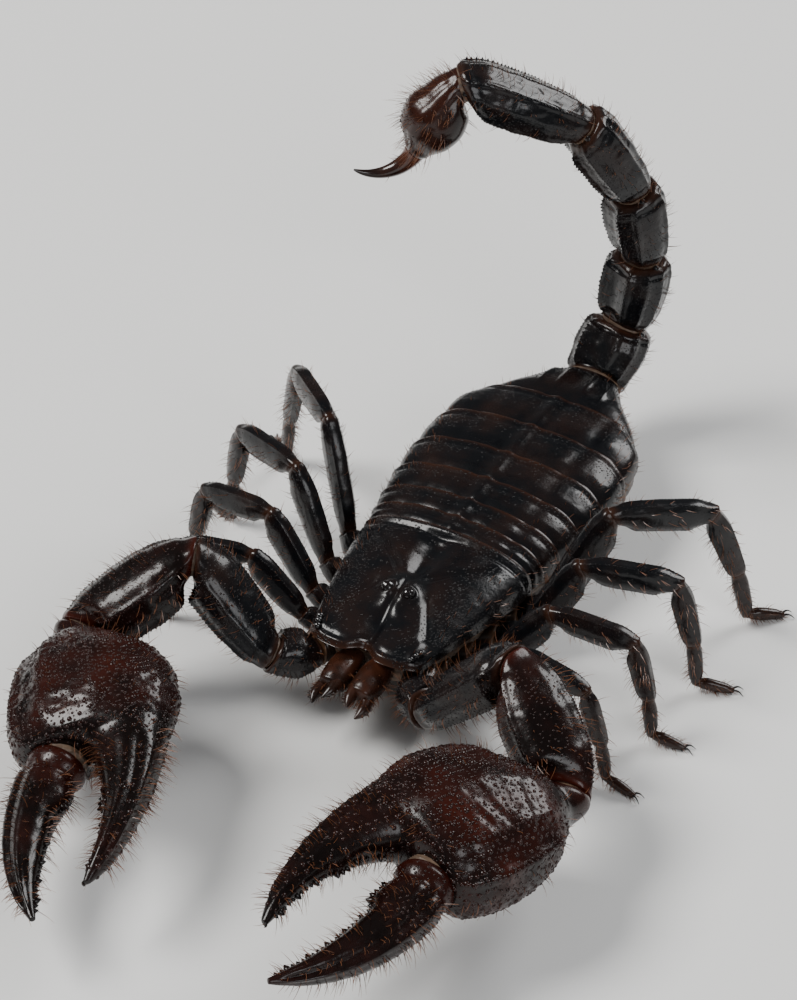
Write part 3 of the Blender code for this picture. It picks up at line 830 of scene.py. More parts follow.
@dataclass
class Beads(Gathered):
    """Small round grains."""

    def add(self, places: Array, normals: Array, radii: Array | float, height: Array | float) -> None:
        """Gathers grains of these radii, which stand height times their radius high."""
        sizes = (np.broadcast_to(size, len(places)) for size in (radii, height))
        self.rows.append((places, normals, *sizes))

    def sprinkled(
        self, surface: Surface, count: int, chance: Pattern, radius: float, seed: int, height: float
    ) -> None:
        """Gathers grains of unlike sizes scattered over a surface.

        Args:
            surface: What they are on.
            count: The most grains to gather.
            chance: How likely each place is.
            radius: Their usual radius.
            seed: Gives another set of places.
            height: How high they stand, as a share of their radius.
        """
        places, normals, _ = surface.scattered(count, chance, radius * 2.1, seed)
        sizes = radius * np.random.default_rng(seed).uniform(0.6, 1.15, len(places))
        self.add(places, normals, sizes, height)

    def rowed(
        self, surface: Surface, turn: float, span: Pair, pitch: float, radius: float, tall: float
    ) -> None:
        """Gathers a row of grains along a keel, which get larger towards its far end.

        Args:
            surface: What the keel is on.
            turn: Where it lies round the surface.
            span: The shares of the length between which it runs.
            pitch: The distance from grain to grain.
            radius: The largest radius.
            tall: How high the last grain stands, as a share of its radius.
        """
        line, _ = surface.along_line(turn, np.array(span))
        count = max(int(math.dist(*line) / pitch), 2)
        places, normals = surface.along_line(turn, between(*span, evenly(count)))
        growth, heights = between(0.62, 1.0, evenly(count)), between(0.7, tall, evenly(count))
        self.add(places, normals, radius * growth, heights)

    def made(self, name: str, finish: Cuticle, edge: float = 0.0) -> Object:
        """Makes all the gathered grains as one piece.

        Args:
            name: Its name.
            finish: What it is made of.
            edge: How thin or worn it is.

        Returns:
            The piece.
        """
        places, normals, radii, heights = self.together()
        seed = bmesh.new()
        bmesh.ops.create_uvsphere(seed, u_segments=7, v_segments=3, radius=1)
        data, shape = self.copied(seed, len(places))
        level, tall = shape[..., 2], heights[:, None]
        upper = np.clip(level, 0, 1)
        rise = tall * (1.1 * upper - 0.1 * (upper > 0)) + 0.36 * np.minimum(level, 0)
        narrow = 1 - 0.3 * level - 0.8 * upper * np.clip(tall - 0.7, 0, 1)
        flat = self.across(normals, shape[..., :2] * narrow[..., None])
        points = places[:, None] + radii[:, None, None] * (flat + normals[:, None] * rise[..., None])
        self.maker.put(data, points, np.full(len(data.vertices), edge))
        return self.maker.finished(data, name, finish)


@dataclass
class Bristles(Gathered):
    """Stiff hairs, with a map that gives each a patch on its own surface's tile."""

    seed: int = 1
    tiles: int = 8

    def grow(
        self, surface: Surface, count: int, lengths: Pair, chance: Pattern, lean: float, thick: float = 0.05
    ) -> None:
        """Gathers hairs that stand on a surface.

        Args:
            surface: What they grow on.
            count: How many there are.
            lengths: The shortest and longest.
            chance: How likely each place is.
            lean: How much they lean towards the surface's far end.
            thick: Their radius at the root.
        """
        number = len(self.rows)
        seed = self.seed * 100 + number
        draw = np.random.default_rng(seed)
        places, normals, flat = surface.scattered(count, chance, 0, seed)
        spine = surface.points.mean(axis=1)
        way = unit(spine[-1] - spine[0])
        leaning = lean * draw.uniform(0.5, 1.5, (count, 1)) * way
        ways = unit(normals + leaning + draw.normal(0, 0.16, (count, 3)))
        bends = across_face(way + draw.normal(0, 0.4, (count, 3)), ways)
        size = draw.uniform(*lengths, count) * draw.uniform(0.75, 1.0, count)
        tile = point(number % self.tiles, number // self.tiles)
        roots = (tile + 0.04 + 0.92 * flat) / self.tiles
        self.rows.append((places, ways, bends, size, np.full(count, thick), roots))

    def made(self, name: str) -> Object:
        """Makes all the gathered hairs as one piece.

        Args:
            name: Its name.

        Returns:
            The piece.
        """
        places, ways, bends, size, thick, roots = self.together()
        size, thick = size[:, None, None], thick[:, None, None]
        seed = bmesh.new()
        seed.loops.layers.uv.new("OFBake")
        bmesh.ops.create_cone(seed, cap_ends=True, segments=3, radius1=1, radius2=0.3, depth=1, calc_uvs=True)
        for level in (-0.25, 0.05, 0.3):
            shape = seed.verts[:] + seed.edges[:] + seed.faces[:]
            bmesh.ops.bisect_plane(seed, geom=shape, plane_co=(0, 0, level), plane_no=(0, 0, 1))
        data, shape = self.copied(seed, len(places))
        height = shape[..., 2:] + 0.5
        rim = unit(shape[..., :2]) * thick * between(1.0, 0.14, height**1.4)
        stem = ways[:, None] * (height * 1.04 - 0.04) + bends[:, None] * (height**2 * 0.22)
        points = places[:, None] + size * stem + self.across(ways, rim)
        points[..., 2] = np.maximum(points[..., 2], 0.03)
        self.maker.put(data, points, height)
        spots = data.uv_layers["OFBake"].data
        patches = numbers(spots, "uv", 2).reshape(len(places), -1, 2) * HAIR_PATCH
        spots.foreach_set("uv", (patches + roots[:, None]).ravel())
        return self.maker.finished(data, name, HAIR)


# Limbs


@dataclass(frozen=True)
class Keel:
    """A ridge along a limb, or a furrow where its height is negative.

    It lies at a turn from the limb's side towards its upper face, and turn and width are in degrees. Its
    grains have the radius bead, or 0 for none, and the last one stands tall times its radius high.
    """

    turn: float
    height: float
    width: float = 8.0
    bead: float = 0.0
    tall: float = 0.9


def mirrored(*ridges: Sequence[float]) -> list[Keel]:
    """Each ridge and its twin on the limb's other side."""
    return [Keel(turn, *sizes) for first, *sizes in ridges for turn in (first, 180 - first)]


@dataclass
class Segment:
    """One hard segment of a limb, between two joints.

    Its profile has rows of the share of its length, half width, rise and drop. Faces are the directions
    that its ends face, gap short of the joints, and its far end flares into a collar. It has so many rows
    of points and so many sides.
    """

    joints: Sequence[Array]
    side: Array
    profile: Rows
    faces: Sequence[Array]
    keels: Sequence[Keel]
    rows: int
    sides: int
    boxiness: float
    collar: float = 0.05
    gap: float = 0.25

    def surface(self) -> Surface:
        """The segment's own surface, with its keels.

        Returns:
            The closed surface.
        """
        (start, end), (near, far), shares = self.joints, self.faces, evenly(self.rows)
        way = unit(end - start)
        rim = hill(shares - 0.965, 0.03) - 0.8 * hill(shares - 0.895, 0.028)
        rim += 0.7 * (hill(shares - 0.02, 0.03) - hill(shares - 0.085, 0.03))
        sizes = smooth_table(self.profile, shares) * (1 + self.collar * rim)[:, None]
        nearness, farness = 1 - eased(shares / 0.3)[:, None], eased((shares - 0.7) / 0.3)[:, None]
        face = unit(way + nearness * (near - way) + farness * (far - way))
        side = across_face(self.side, face)
        spine = between(start + near * self.gap, end - far * self.gap, shares[:, None])
        upper = np.cross(side, face)
        made = rings(spine, side, upper, sizes, self.sides, self.boxiness, (0.5, 0.25), shares)
        made.core = made.points.mean(axis=1)
        return made.relief(self.ridges)

    def ridges(self, shares: Array, turns: Array) -> Array:
        """How high the keels stand at each place."""
        ridges = ridged(turns, *((keel.height, keel.turn, keel.width) for keel in self.keels))
        return ridges * within(shares, 0, 0.14, 1, 0.09)

    def beaded(self, beads: Beads, surface: Surface, pitch: float = 0.62) -> None:
        """Gathers the grains along the keels."""
        for keel in self.keels:
            if keel.bead:
                beads.rowed(surface, keel.turn, (0.1, 0.92), pitch, keel.bead, keel.tall)


def chained(joint: Array, ways: Sequence[Array], lengths: Sequence[float]) -> Array:
    """The joints of a chain of segments, from its first one on."""
    return np.cumsum([joint, *(way * length for way, length in zip(ways, lengths))], axis=0)


def halfway(ways: Sequence[Array]) -> list[Array]:
    """The way that each joint between two segments faces, halfway between theirs."""
    return [unit(before + after) for before, after in zip(ways, ways[1:])]


def swelling(count: int, fullness: float) -> Array:
    """A row of sizes that swell to 1 in the middle, as along a pod. Fullness 1 starts from nothing."""
    return np.sqrt(1 - np.linspace(-fullness, fullness, count) ** 2)


def worn(surface: Surface, ends: float = 0.9, seed: float = 0.0) -> Array:
    """How thin or worn a limb's surface is: most at its two ends, with soft patches."""
    near = hill(surface.shares, 0.05) + hill(1 - surface.shares, 0.045)
    return np.clip(ends * near[:, None] + 0.25 * uneven(surface.points, 3.0, seed), 0, 1)


def curved(path: Array, upper: Array, sizes: Array, sides: int, boxiness: float, domes: Pair) -> Surface:
    """A limb's surface along a bent line, such as a tooth or a claw.

    Args:
        path: The line.
        upper: About where its upper face looks.
        sizes, sides, boxiness, domes: As in rings.

    Returns:
        The closed surface.
    """
    way = unit(np.gradient(path, axis=0))
    top = across_face(np.broadcast_to(upper, path.shape), way)
    return rings(path, np.cross(way, top), top, sizes, sides, boxiness, domes)


def knuckle(joint: Array, face: Array, side: Array, sizes: Triple, seed: float) -> Surface:
    """The wrinkled bead of soft skin in a joint.

    Args:
        joint: Its middle.
        face, side: The directions along the limb and about to its side.
        sizes: Half its length, width and height.
        seed: Shifts its wrinkles.

    Returns:
        The closed surface.
    """
    (length, half, tall), shares, side = sizes, evenly(13), across_face(side, face)
    spine = joint + face * ((shares - 0.5) * 2 * length)[:, None]
    around = swelling(13, 0.9)[:, None] * (half, tall, tall)
    made = rings(spine, side, np.cross(side, face), around, 20, 2.1, (0.05, 0.05), shares)
    wrinkle = np.pad(0.06 * np.sin(shares * 40 + seed), END_ROWS)
    return made.raised(wrinkle[:, None] + 0 * made.turns)


def toothed(finger: Surface, turn: float, teeth: Sequence[Pair]) -> list[Surface]:
    """The teeth on a finger's cutting edge.

    Args:
        finger: The finger.
        turn: Where its edge lies round it.
        teeth: The share of the finger's length and the size of each.

    Returns:
        Their surfaces.
    """
    shapes = []
    for share, size in teeth:
        (place,), (out,) = finger.along_line(turn, point(share))
        path = place + out * np.linspace(-0.3, 1.0, 6)[:, None] * size * 1.3
        taper = size * point(0.95, 0.95, 0.85, 0.66, 0.42, 0.16)
        shapes.append(curved(path, AHEAD + 0.01, taper, 9, 2.0, (0.02, 0.04)))
    return shapes


# The trunk


@dataclass
class Trunk:
    """The carapace, eyes, plates of back and belly, leg bases, combs and the soft skin between them.

    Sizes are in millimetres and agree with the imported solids.
    """

    maker: Maker
    beads: Beads
    hairs: Bristles
    head: float = 28.0
    front_width: float = 18.4
    rear_width: float = 28.6
    swell: float = 2.8
    tail_width: float = 11.5
    tail_height: float = 12.2
    back_lengths: tuple[float, ...] = (3.2, 4.2, 5.6, 7.0, 8.2, 9.3, 12.5)
    belly_lengths: tuple[float, ...] = (9.0, 8.6, 8.8, 9.2, 11.0)
    eye_back: float = 12.2
    eye_aside: float = 1.75

    @property
    def end(self) -> float:
        """Where the trunk ends."""
        return self.head + sum(self.back_lengths)

    def abdomen(self, back: Array) -> Array:
        """How far along the abdomen a place lies, from 0 to 1."""
        return (back - self.head) / sum(self.back_lengths)

    def half_width(self, back: Array) -> Array:
        """Half the trunk's width."""
        spread = np.sin(np.clip(back / self.head, 0, 1) * math.pi / 2)
        front = between(self.front_width, self.rear_width, spread) / 2
        share = self.abdomen(back)
        swell = self.swell * np.sin(math.pi * np.clip(share / 0.9, 0, 1))
        rear = between(self.rear_width / 2 + swell, self.tail_width / 2, eased((share - 0.66) / 0.34))
        return np.where(back <= self.head, front, rear)

    def crest(self, back: Array) -> Array:
        """Height of the back's midline."""
        front = between(14.2, 17.4, np.sin(np.clip(back / self.head, 0, 1) * math.pi / 2))
        share = np.clip(self.abdomen(back), 0, 1)
        rear = between(17.4, 16.4, eased(share)) + 1.5 * np.sin(math.pi * share) ** 1.2
        return np.where(back <= self.head, front, rear)

    def waist(self, back: Array) -> Array:
        """Height of the line where back and belly meet."""
        front = between(12.4, 10.4, eased(back / self.head))
        return np.where(back <= self.head, front, between(10.4, 12.2, eased(self.abdomen(back))))

    def belly(self, back: Array) -> Array:
        """Height of the under side's midline."""
        return between(5.2, 8.0, eased((self.abdomen(back) - 0.55) / 0.45))

    def near_end(self, back: Array, reach: float) -> Array:
        """Rises from 0 to 1 over the last reach of the trunk."""
        return eased((back - self.end) / reach + 1)

    def slanted(self, back: Array, height: Array) -> Array:
        """Where a point lies once the trunk's end leans forward to face up the tail."""
        return back - self.near_end(back, 5.0) * (height - self.tail_height) * math.tan(TAIL_LEAN)

    def drawn_in(self, back: Array, across: Array, height: Array) -> Array:
        """A plate's points, drawn in so that the trunk's end closes round the root of the tail."""
        close = self.near_end(back, 2.8)
        across = across * (1 - 0.17 * close)
        height = height - (height - self.tail_height) * 0.14 * close
        return joined(across, self.slanted(back, height), height)

    def arch(
        self, half: Array, foot: Array, edge: Array, top: Array, columns: int, fullness: float
    ) -> tuple[Array, Array]:
        """An arched section with short upright sides, for each row.

        Args:
            half: Half its width.
            foot, edge, top: The heights where its sides and its dome begin, and of its midline.
            columns: How many points the dome has.
            fullness: Less than 1 for a full dome.

        Returns:
            Distance across and height, by row and column.
        """
        half, foot, edge, top = (size[:, None] for size in (half, foot, edge, top))
        turn, side = np.linspace(0, math.pi, columns), between(foot, edge, point(0.0, 0.35, 0.7))
        dome = between(edge, top, np.sin(turn) ** fullness)
        flat = np.pad(np.cos(turn), 3, mode="edge")
        return half * flat, np.concatenate((side, dome, side[:, ::-1]), axis=1)

    def plated(
        self, name: str, node: str, points: Array, shares: Array, edge: Array, finish: Finish
    ) -> Surface:
        """Makes a plate of the back or belly.

        Args:
            name: The piece's name.
            node: The CAD node that it stands for.
            points, shares: The outer face's places, and how far along each row lies.
            edge: How thin or worn each place is.
            finish: What it is made of.

        Returns:
            The outer face.
        """
        inwards = 3 if finish is BELLY else -4
        core = points[:, 0] * (0, 1, 1) + (0, 0, inwards)
        face = Surface(points, shares, points[len(shares) // 2, :, 0], False, core)
        whole = np.clip(np.concatenate((edge, edge[:, -2:0:-1]), axis=1), 0, 1)
        self.maker.piece(name, [face.thick(0.6)], finish, [node], [whole], 60.0)
        return face

    def build(self) -> None:
        """Builds every piece of the trunk."""
        self.carapace()
        self.eyes()
        stops = np.cumsum((self.head, *self.back_lengths))
        for number, ends in enumerate(zip(stops, stops[1:]), 1):
            self.back_plate(number, *ends)
        stops = np.cumsum((self.end - sum(self.belly_lengths), *self.belly_lengths))
        slits: list[Surface] = []
        for number, ends in enumerate(zip(stops, stops[1:]), 3):
            slits += self.belly_plate(number, *ends)
        self.maker.piece("spiracles", slits, COMB)
        self.flanks()
        self.leg_bases()
        self.combs()

    # The carapace

    def front_edge(self, across: Array) -> Array:
        """How far the carapace's front edge lies back: a notch between two lobes."""
        notch = 2.2 * hill(across, 1.9)
        return notch + 1.8 * (np.abs(across) / (self.front_width / 2)) ** 4

    def furrows(self, across: Array, back: Array) -> Array:
        """The relief of the carapace.

        Args:
            across, back: How far across and back each place lies.

        Returns:
            How high each place stands.
        """
        aside, mound_at = np.abs(across), (back - self.eye_back) / 3.4
        behind_front = back - self.front_edge(across)
        spread, fade = eased((back - 15.5) / 9.5), eased((27.2 - back) / 2.5)
        parts = (
            # The eyes' mound, the rings round them and the groove between them
            1.5 * hill(across, 2.6) * hill(mound_at, 1),
            0.3 * hill(np.hypot(aside - self.eye_aside, back - self.eye_back) - 1.25, 0.35),
            -0.65 * hill(across, 0.62) * hill(mound_at, 1.1),
            # The middle furrow and its hollow
            -0.7 * hill(across, 0.8 + 0.05 * back) * eased(np.abs(mound_at) - 0.75) * fade,
            -0.62 * hill(across, between(1.4, 4.2, eased((back - 15) / 9))) * within(back, 15, 7, 27.4, 3.4),
            # A slanting and a curved furrow on each side
            -0.55 * hill(aside - between(2.2, 9.4, spread), 0.85) * within(back, 15, 3, 25.8, 3),
            -0.45 * hill(aside - between(7.6, 4.2, eased((back - 6) / 9)), 0.8) * within(back, 5, 3, 15.5, 3),
            # The front lobes and the brows
            0.45 * hill(np.hypot(aside - 4.9, (back - 4.2) * 0.8), 3.0),
            0.35 * hill(aside - 7.6, 0.8) * hill(back - 3.0, 2.2),
            # The rear and the front rim
            0.22 * hill(back - 27.3, 0.45) - 0.3 * hill(back - 26.2, 0.5),
            0.2 * hill(behind_front - 0.5, 0.4) - 0.16 * hill(behind_front - 1.35, 0.45),
        )
        return sum(parts)

    def carapace(self) -> None:
        """The one plate over the front of the trunk."""
        rows = 150
        shares = eased(np.linspace(0.08, 0.92, rows))
        shares = (shares - shares[0]) / (shares[-1] - shares[0])
        level = shares * self.head
        foot = self.waist(level)
        sizes = self.half_width(level), foot + 0.1, foot + 1.0, self.crest(level)
        across, height = self.arch(*sizes, 150, 0.72)
        back = between(self.front_edge(across), self.head, shares[:, None])
        flatness = eased((height - foot[:, None] - 1.0) / 1.2)
        height = height + self.furrows(across, back) * flatness
        behind_front = back - self.front_edge(across)
        points = joined(across, back, height - 0.75 * hill(behind_front, 0.55))
        points[..., 2] += 0.05 * uneven(points, 1.6, 2) * flatness
        edge = np.maximum(hill(behind_front, 0.7), 0.8 * hill(back - self.head, 0.6))
        edge = np.maximum(edge, 0.7 * hill(height - foot[:, None], 0.7)) + 0.3 * uneven(points, 4.0, 3)
        plate = self.plated("carapace_plate", "carapace", points, shares, edge, SHELL)
        widest = float(self.half_width(level)[rows // 2])

        def to_side(share: Array, turn: Array) -> Array:
            """More grains towards the sides and along the rear, and none on the eyes."""
            aside = np.abs(turn) / widest
            behind = share * self.head
            reach = aside * self.half_width(behind)
            near = hill(np.hypot(reach - 1.9, behind - self.eye_back) / 2.4, 1) ** 0.5
            near = np.maximum(near, hill(np.hypot(reach - 8.2, behind - 3.1) / 1.8, 1) ** 0.5)
            chance = 0.05 + eased((aside - 0.35) / 0.4) + 0.5 * eased((share - 0.86) / 0.1)
            return chance * eased(2.2 - 3.2 * near)

        self.beads.sprinkled(plate, 1500, to_side, 0.18, 11, 0.38)
        self.beads.sprinkled(plate, 120, to_side, 0.3, 12, 0.42)
        self.hairs.grow(plate, 90, (0.7, 1.8), lambda s, t: eased((np.abs(t) - 8) / 3) + hill(s, 0.06), 0.2)

    def eyes(self) -> None:
        """Two large eyes on the mound, and three small ones on each front corner."""
        height = float(self.crest(np.array(self.eye_back))) + 0.72
        for name, sign in SIDES:
            middle = point(sign * self.eye_aside, self.eye_back, height)
            out = unit(point(sign * 0.72, -0.12, 0.62))
            lens = self.lens(middle, out, 1.05)
            self.maker.piece(f"eye_{name}", [lens], EYE, [f"median_eye_{name}"])
            row = []
            for along in (-1.05, 0.0, 1.05):
                spot = point(sign * (8.2 + along * 0.36), 2.9 + along, 14.8 - 0.1 * abs(along))
                row.append(self.lens(spot, unit(point(sign * 0.75, -0.35, 0.55)), 0.5))
            self.maker.piece(f"small_eyes_{name}", row, EYE, [f"lateral_eyes_{name}"])

    def lens(self, middle: Array, out: Array, radius: float) -> Surface:
        """One eye: a bulging lens with a narrower ring at its foot.

        Args:
            middle, out: Its middle and the way it faces.
            radius: Its radius.

        Returns:
            The closed surface.
        """
        foot, bulge = ((-0.8, 0.55), (-0.45, 0.93)), ((0.12, 0.96), (0.3, 0.93), (0.6, 0.76), (0.84, 0.48))
        profile = (*foot, (-0.05, 1.0), *bulge)
        steps = np.linspace(-0.8, 0.84, 20)
        sizes = smooth_table(profile, steps)[:, 0] * radius
        side = across_face(UP, out)
        spine = middle + out * (steps * radius)[:, None]
        return rings(spine, side, np.cross(side, out), sizes, 36, 2.0, (0.05, 0.17 * radius))

    # The plates of the abdomen

    def back_plate(self, number: int, start: float, end: float) -> None:
        """Makes one back plate, whose rear rim stands over the next plate's front.

        Args:
            number: Its number from the front.
            start, end: How far back it begins and ends.
        """
        last, length = number == len(self.back_lengths), end - start
        shares = evenly(int(26 + 2.2 * length)) ** 0.85
        back = between(start - 1.1, end, shares)
        tuck = np.clip((start + 0.35 * length - back) / (0.35 * length + 1.1), 0, 1)
        rim_place = (end - back) / 0.55
        grown = -1.05 * tuck**1.5 + 0.10 * (hill(rim_place - 0.6, 0.8) - hill(rim_place - 2.6, 0.9))
        half, foot = self.half_width(back), self.waist(back) + 0.45 - 0.4 * self.near_end(back, 7.0)
        sizes = half + grown * 0.7, foot, foot + 0.8, self.crest(back) + grown
        across, height = self.arch(*sizes, 130, 0.72)
        aside = np.abs(across) / half[:, None]
        corner = 0.14 * length * eased((aside - 0.72) / 0.28) ** 1.5 * eased((shares[:, None] - 0.4) / 0.6)
        place = back[:, None] - (0 if last else corner)
        body = eased(shares / 0.3)[:, None] * eased((height - foot[:, None] - 0.8) / 0.8)
        if last:
            keels = twin_hills(across, 2.3, 0.55) + twin_hills(across, 5.4, 0.6)
            rear = within(shares[:, None], 0.25, 0.3, 1, 0.12)
            lumps = (0.42 * keels - 0.35 * hill(across, 1.2)) * rear
        else:
            dips = 0.2 * twin_hills(across, 2.0, 0.9) + 0.16 * twin_hills(across, 9.5, 1.2)
            lumps = 0.22 * hill(across, 0.7) - dips
        rough = uneven(joined(across, place, height), 2.2, number)
        height = height + body * (lumps + 0.06 * rough)
        points = self.drawn_in(place, across, height)
        edge = 0.85 * hill(rim_place, 1.0)[:, None] + 0.5 * hill(height - foot[:, None], 0.6)
        edge += 0.25 * uneven(points, 4.0, number + 5)
        plate = self.plated(f"back_plate_{number}", f"tergite_{number}", points, shares, edge, SHELL)

        def to_rear(share: Array, turn: Array) -> Array:
            """More grains towards the rear and the sides."""
            sides = 0.25 + eased((np.abs(turn) - 6) / 8)
            return sides * within(share, 0.35, 0.5, 0.97, 0.04)

        self.beads.sprinkled(plate, int(38 * length), to_rear, 0.17, 20 + number, 0.38)
        if last:
            for turn in (-5.4, -2.3, 2.3, 5.4):
                self.beads.rowed(plate, turn, (0.42, 0.93), 0.6, 0.25, 0.9)
        far = 0.3 * float(plate.turns.max())
        self.hairs.grow(plate, int(5 * length), (0.6, 1.6), lambda _, t: eased(np.abs(t) / far - 2), 0.3)

    def belly_plate(self, number: int, start: float, end: float) -> list[Surface]:
        """Makes one plate of the under side.

        Args:
            number: Its number from the front.
            start, end: How far back it begins and ends.

        Returns:
            Its two breathing slits, or none on the last.
        """
        last, shares = number == 2 + len(self.belly_lengths), evenly(34)
        back = between(start - 0.8, end, shares)
        rim_place = (end - back) / 0.5
        grown = 0.95 * np.clip(1 - shares / 0.24, 0, 1) ** 1.3
        grown += 0.16 * hill(rim_place - 3.0, 1.0) - 0.2 * hill(rim_place - 0.6, 0.9)
        half, low = self.half_width(back) * 0.95, self.belly(back) + grown
        foot = self.waist(back) - 1.5 + 0.9 * self.near_end(back, 7.0)
        across, height = self.arch(half - 0.5 * grown, foot, foot - 0.6, low, 120, 0.5)
        if last:
            keels = twin_hills(across, 2.2, 0.5) + twin_hills(across, 5.6, 0.6)
            height -= 0.3 * within(shares[:, None], 0.2, 0.3, 1, 0.15) * keels
        else:
            height += 0.22 * twin_hills(across, 4.4, 0.5) * eased(shares / 0.3)[:, None]
        points = self.drawn_in(back[:, None] + 0 * height, across, height)
        edge = 0.9 * hill(rim_place, 1.6)[:, None] + 0.35 * uneven(points, 5.0, number)
        edge += 0.15 * (across / 16) ** 2
        plate = self.plated(f"belly_plate_{number}", f"sternite_{number}", points, shares, edge, BELLY)
        self.hairs.grow(plate, 50, (0.8, 1.8), lambda s, t: eased(s / 0.9), 0.6)
        slits = []
        for sign in () if last else (-1, 1):
            (spot,), (out,) = plate.along_line(sign * 8.6, point(0.5))
            way = across_face(point(sign * 0.5, -0.85, 0.1), out)
            path = spot + way * np.linspace(-1.25, 1.25, 15)[:, None]
            sizes = swelling(15, 0.94)[:, None] * (0.48, 0.16, 0.2)
            slit = curved(path, out, sizes, 28, 2.0, (0.1, 0.1))
            lip = eased((1 - abs(2 * slit.shares[:, None] - 1)) / 0.4)
            slits.append(slit.raised(-0.24 * lip * hill(slit.turns - 90, 26)))
        return slits

    def flanks(self) -> None:
        """The soft skin between back and belly."""
        back = np.linspace(3.5, self.end - 1.6, 190)
        half = self.half_width(back) - between(1.7, 0.75, eased((back - 24) / 6))
        half = half * between(0.82, 1.0, eased((back - 3.5) / 5))
        middle = self.waist(back) - 0.6
        rise = self.crest(back) - 1.7 - 1.6 * eased((29.5 - back) / 2) - middle
        drop = middle - np.maximum(self.belly(back) + 1.0, between(7.2, 6.2, eased(back / 28)))
        spine = joined(0 * back, back, middle)
        made = rings(spine, LEFT, UP, joined(half, rise, drop), 96, 2.6, (0.3, 0.3))
        made.points[..., 1] = self.slanted(made.points[..., 1], made.points[..., 2])
        facing = np.abs(np.cos(np.radians(made.turns)))[None, :] ** 4
        lines = np.sin(made.points[..., 2] * 7.5 + 2.2 * uneven(made.points, 3.0, 1))
        puckers = np.sin(made.points[..., 1] * 5.2 + 3.0 * uneven(made.points, 2.0, 2))
        made.raised(facing * (0.13 * lines + 0.08 * puckers))
        self.maker.piece("flank_skin", [made], SKIN)

    # The under side of the front

    def leg_bases(self) -> None:
        """The leg bases in a fan, and the plates between them."""
        roots = ((1.6, 7.6, 4.9), (1.5, 12.0, 5.2), (2.3, 16.9, 6.3), (2.7, 21.6, 6.2))
        profile = ((0, 0.13, 1.3), (0.1, 0.27, 1.8), (0.3, 0.39, 2.1), (0.8, 0.46, 2.2), (1, 0.38, 2.0))
        steps, coarse = evenly(30), evenly(20)
        bases: list[Surface] = []
        wear: list[Array] = []
        for sign in (-1, 1):
            for plan, (root_x, root_y, width) in zip(LEG_PLANS, roots):
                hip = point(sign * (plan.across - 0.4), plan.back, HIP_HEIGHT)
                root = point(sign * root_x, root_y, 7.4)
                path = between(root, hip, steps[:, None])
                half, deep = (smooth_table(profile, steps) * (width, 1)).T
                base = curved(path, UP, joined(half, deep, deep), 44, 2.7, (0.2, 0.3))
                bases.append(base.relief(self.base_edges))
                wear.append(worn(bases[-1], 0.7, plan.back))
                self.hairs.grow(bases[-1], 26, (0.8, 1.8), lambda _, t: np.abs(t - 270) < 70, 0.2)
            for reach, aside, back in ((6.4, 1.25, 10.6), (4.8, 3.5, 8.4)):
                root, way = point(sign * aside, back, 7.0), point(-sign * 0.25, -reach, 0.9)
                taper = smooth_table(((0, 1.5), (0.6, 1.25), (1, 0.55)), coarse)
                lobe = root + coarse[:, None] * way
                bases.append(curved(lobe, UP, taper * (0.8, 1, 1), 24, 2.3, (0.3, 0.3)))
                wear.append(worn(bases[-1], 0.6, aside))
        self.maker.piece("leg_bases", bases, BELLY, ["underside"], wear)
        plates = [self.breast_plate(), self.flap(-1), self.flap(1)]
        self.maker.piece("breast_plates", plates, BELLY, ["genital_operculum"])

    def base_edges(self, share: Array, turn: Array) -> Array:
        """The ridges along a leg base's under side, and the hollow between them."""
        ridges = 0.2 * hill(turn - 222, 9) + 0.2 * hill(turn - 318, 9) - 0.16 * hill(turn - 270, 24)
        return ridges * within(share, 0, 0.3, 1, 0.12)

    def breast_plate(self) -> Surface:
        """The five-sided plate between the rear leg bases, with a groove down its middle.

        Returns:
            The closed surface.
        """
        shares = evenly(30)
        half = smooth_table(((0, 0.25), (0.3, 1.75), (0.45, 2.05), (0.95, 2.15), (1, 2.0)), shares)[:, 0]
        spine = joined(0 * shares, between(14.6, 22.0, shares), 0 * shares + 5.7)
        sizes = joined(half, 0 * half + 0.6, 0 * half + 0.6)
        made = rings(spine, LEFT, UP, sizes, 60, 4.0, (0.1, 0.1))
        return made.relief(lambda s, t: -0.4 * hill(t - 270, 9) * eased((s - 0.35) / 0.4))

    def flap(self, sign: int) -> Surface:
        """One of the two small plates over the opening behind the breast plate."""
        swell = swelling(24, 0.95)
        aside = sign * (0.1 + 1.28 * swell**0.5)
        spine = joined(aside, np.linspace(22.8, 26.8, 24), 0 * swell + 4.9)
        return rings(spine, LEFT, UP, swell[:, None] * (1.3, 0.35, 0.35), 28, 2.4, (0.05, 0.05))

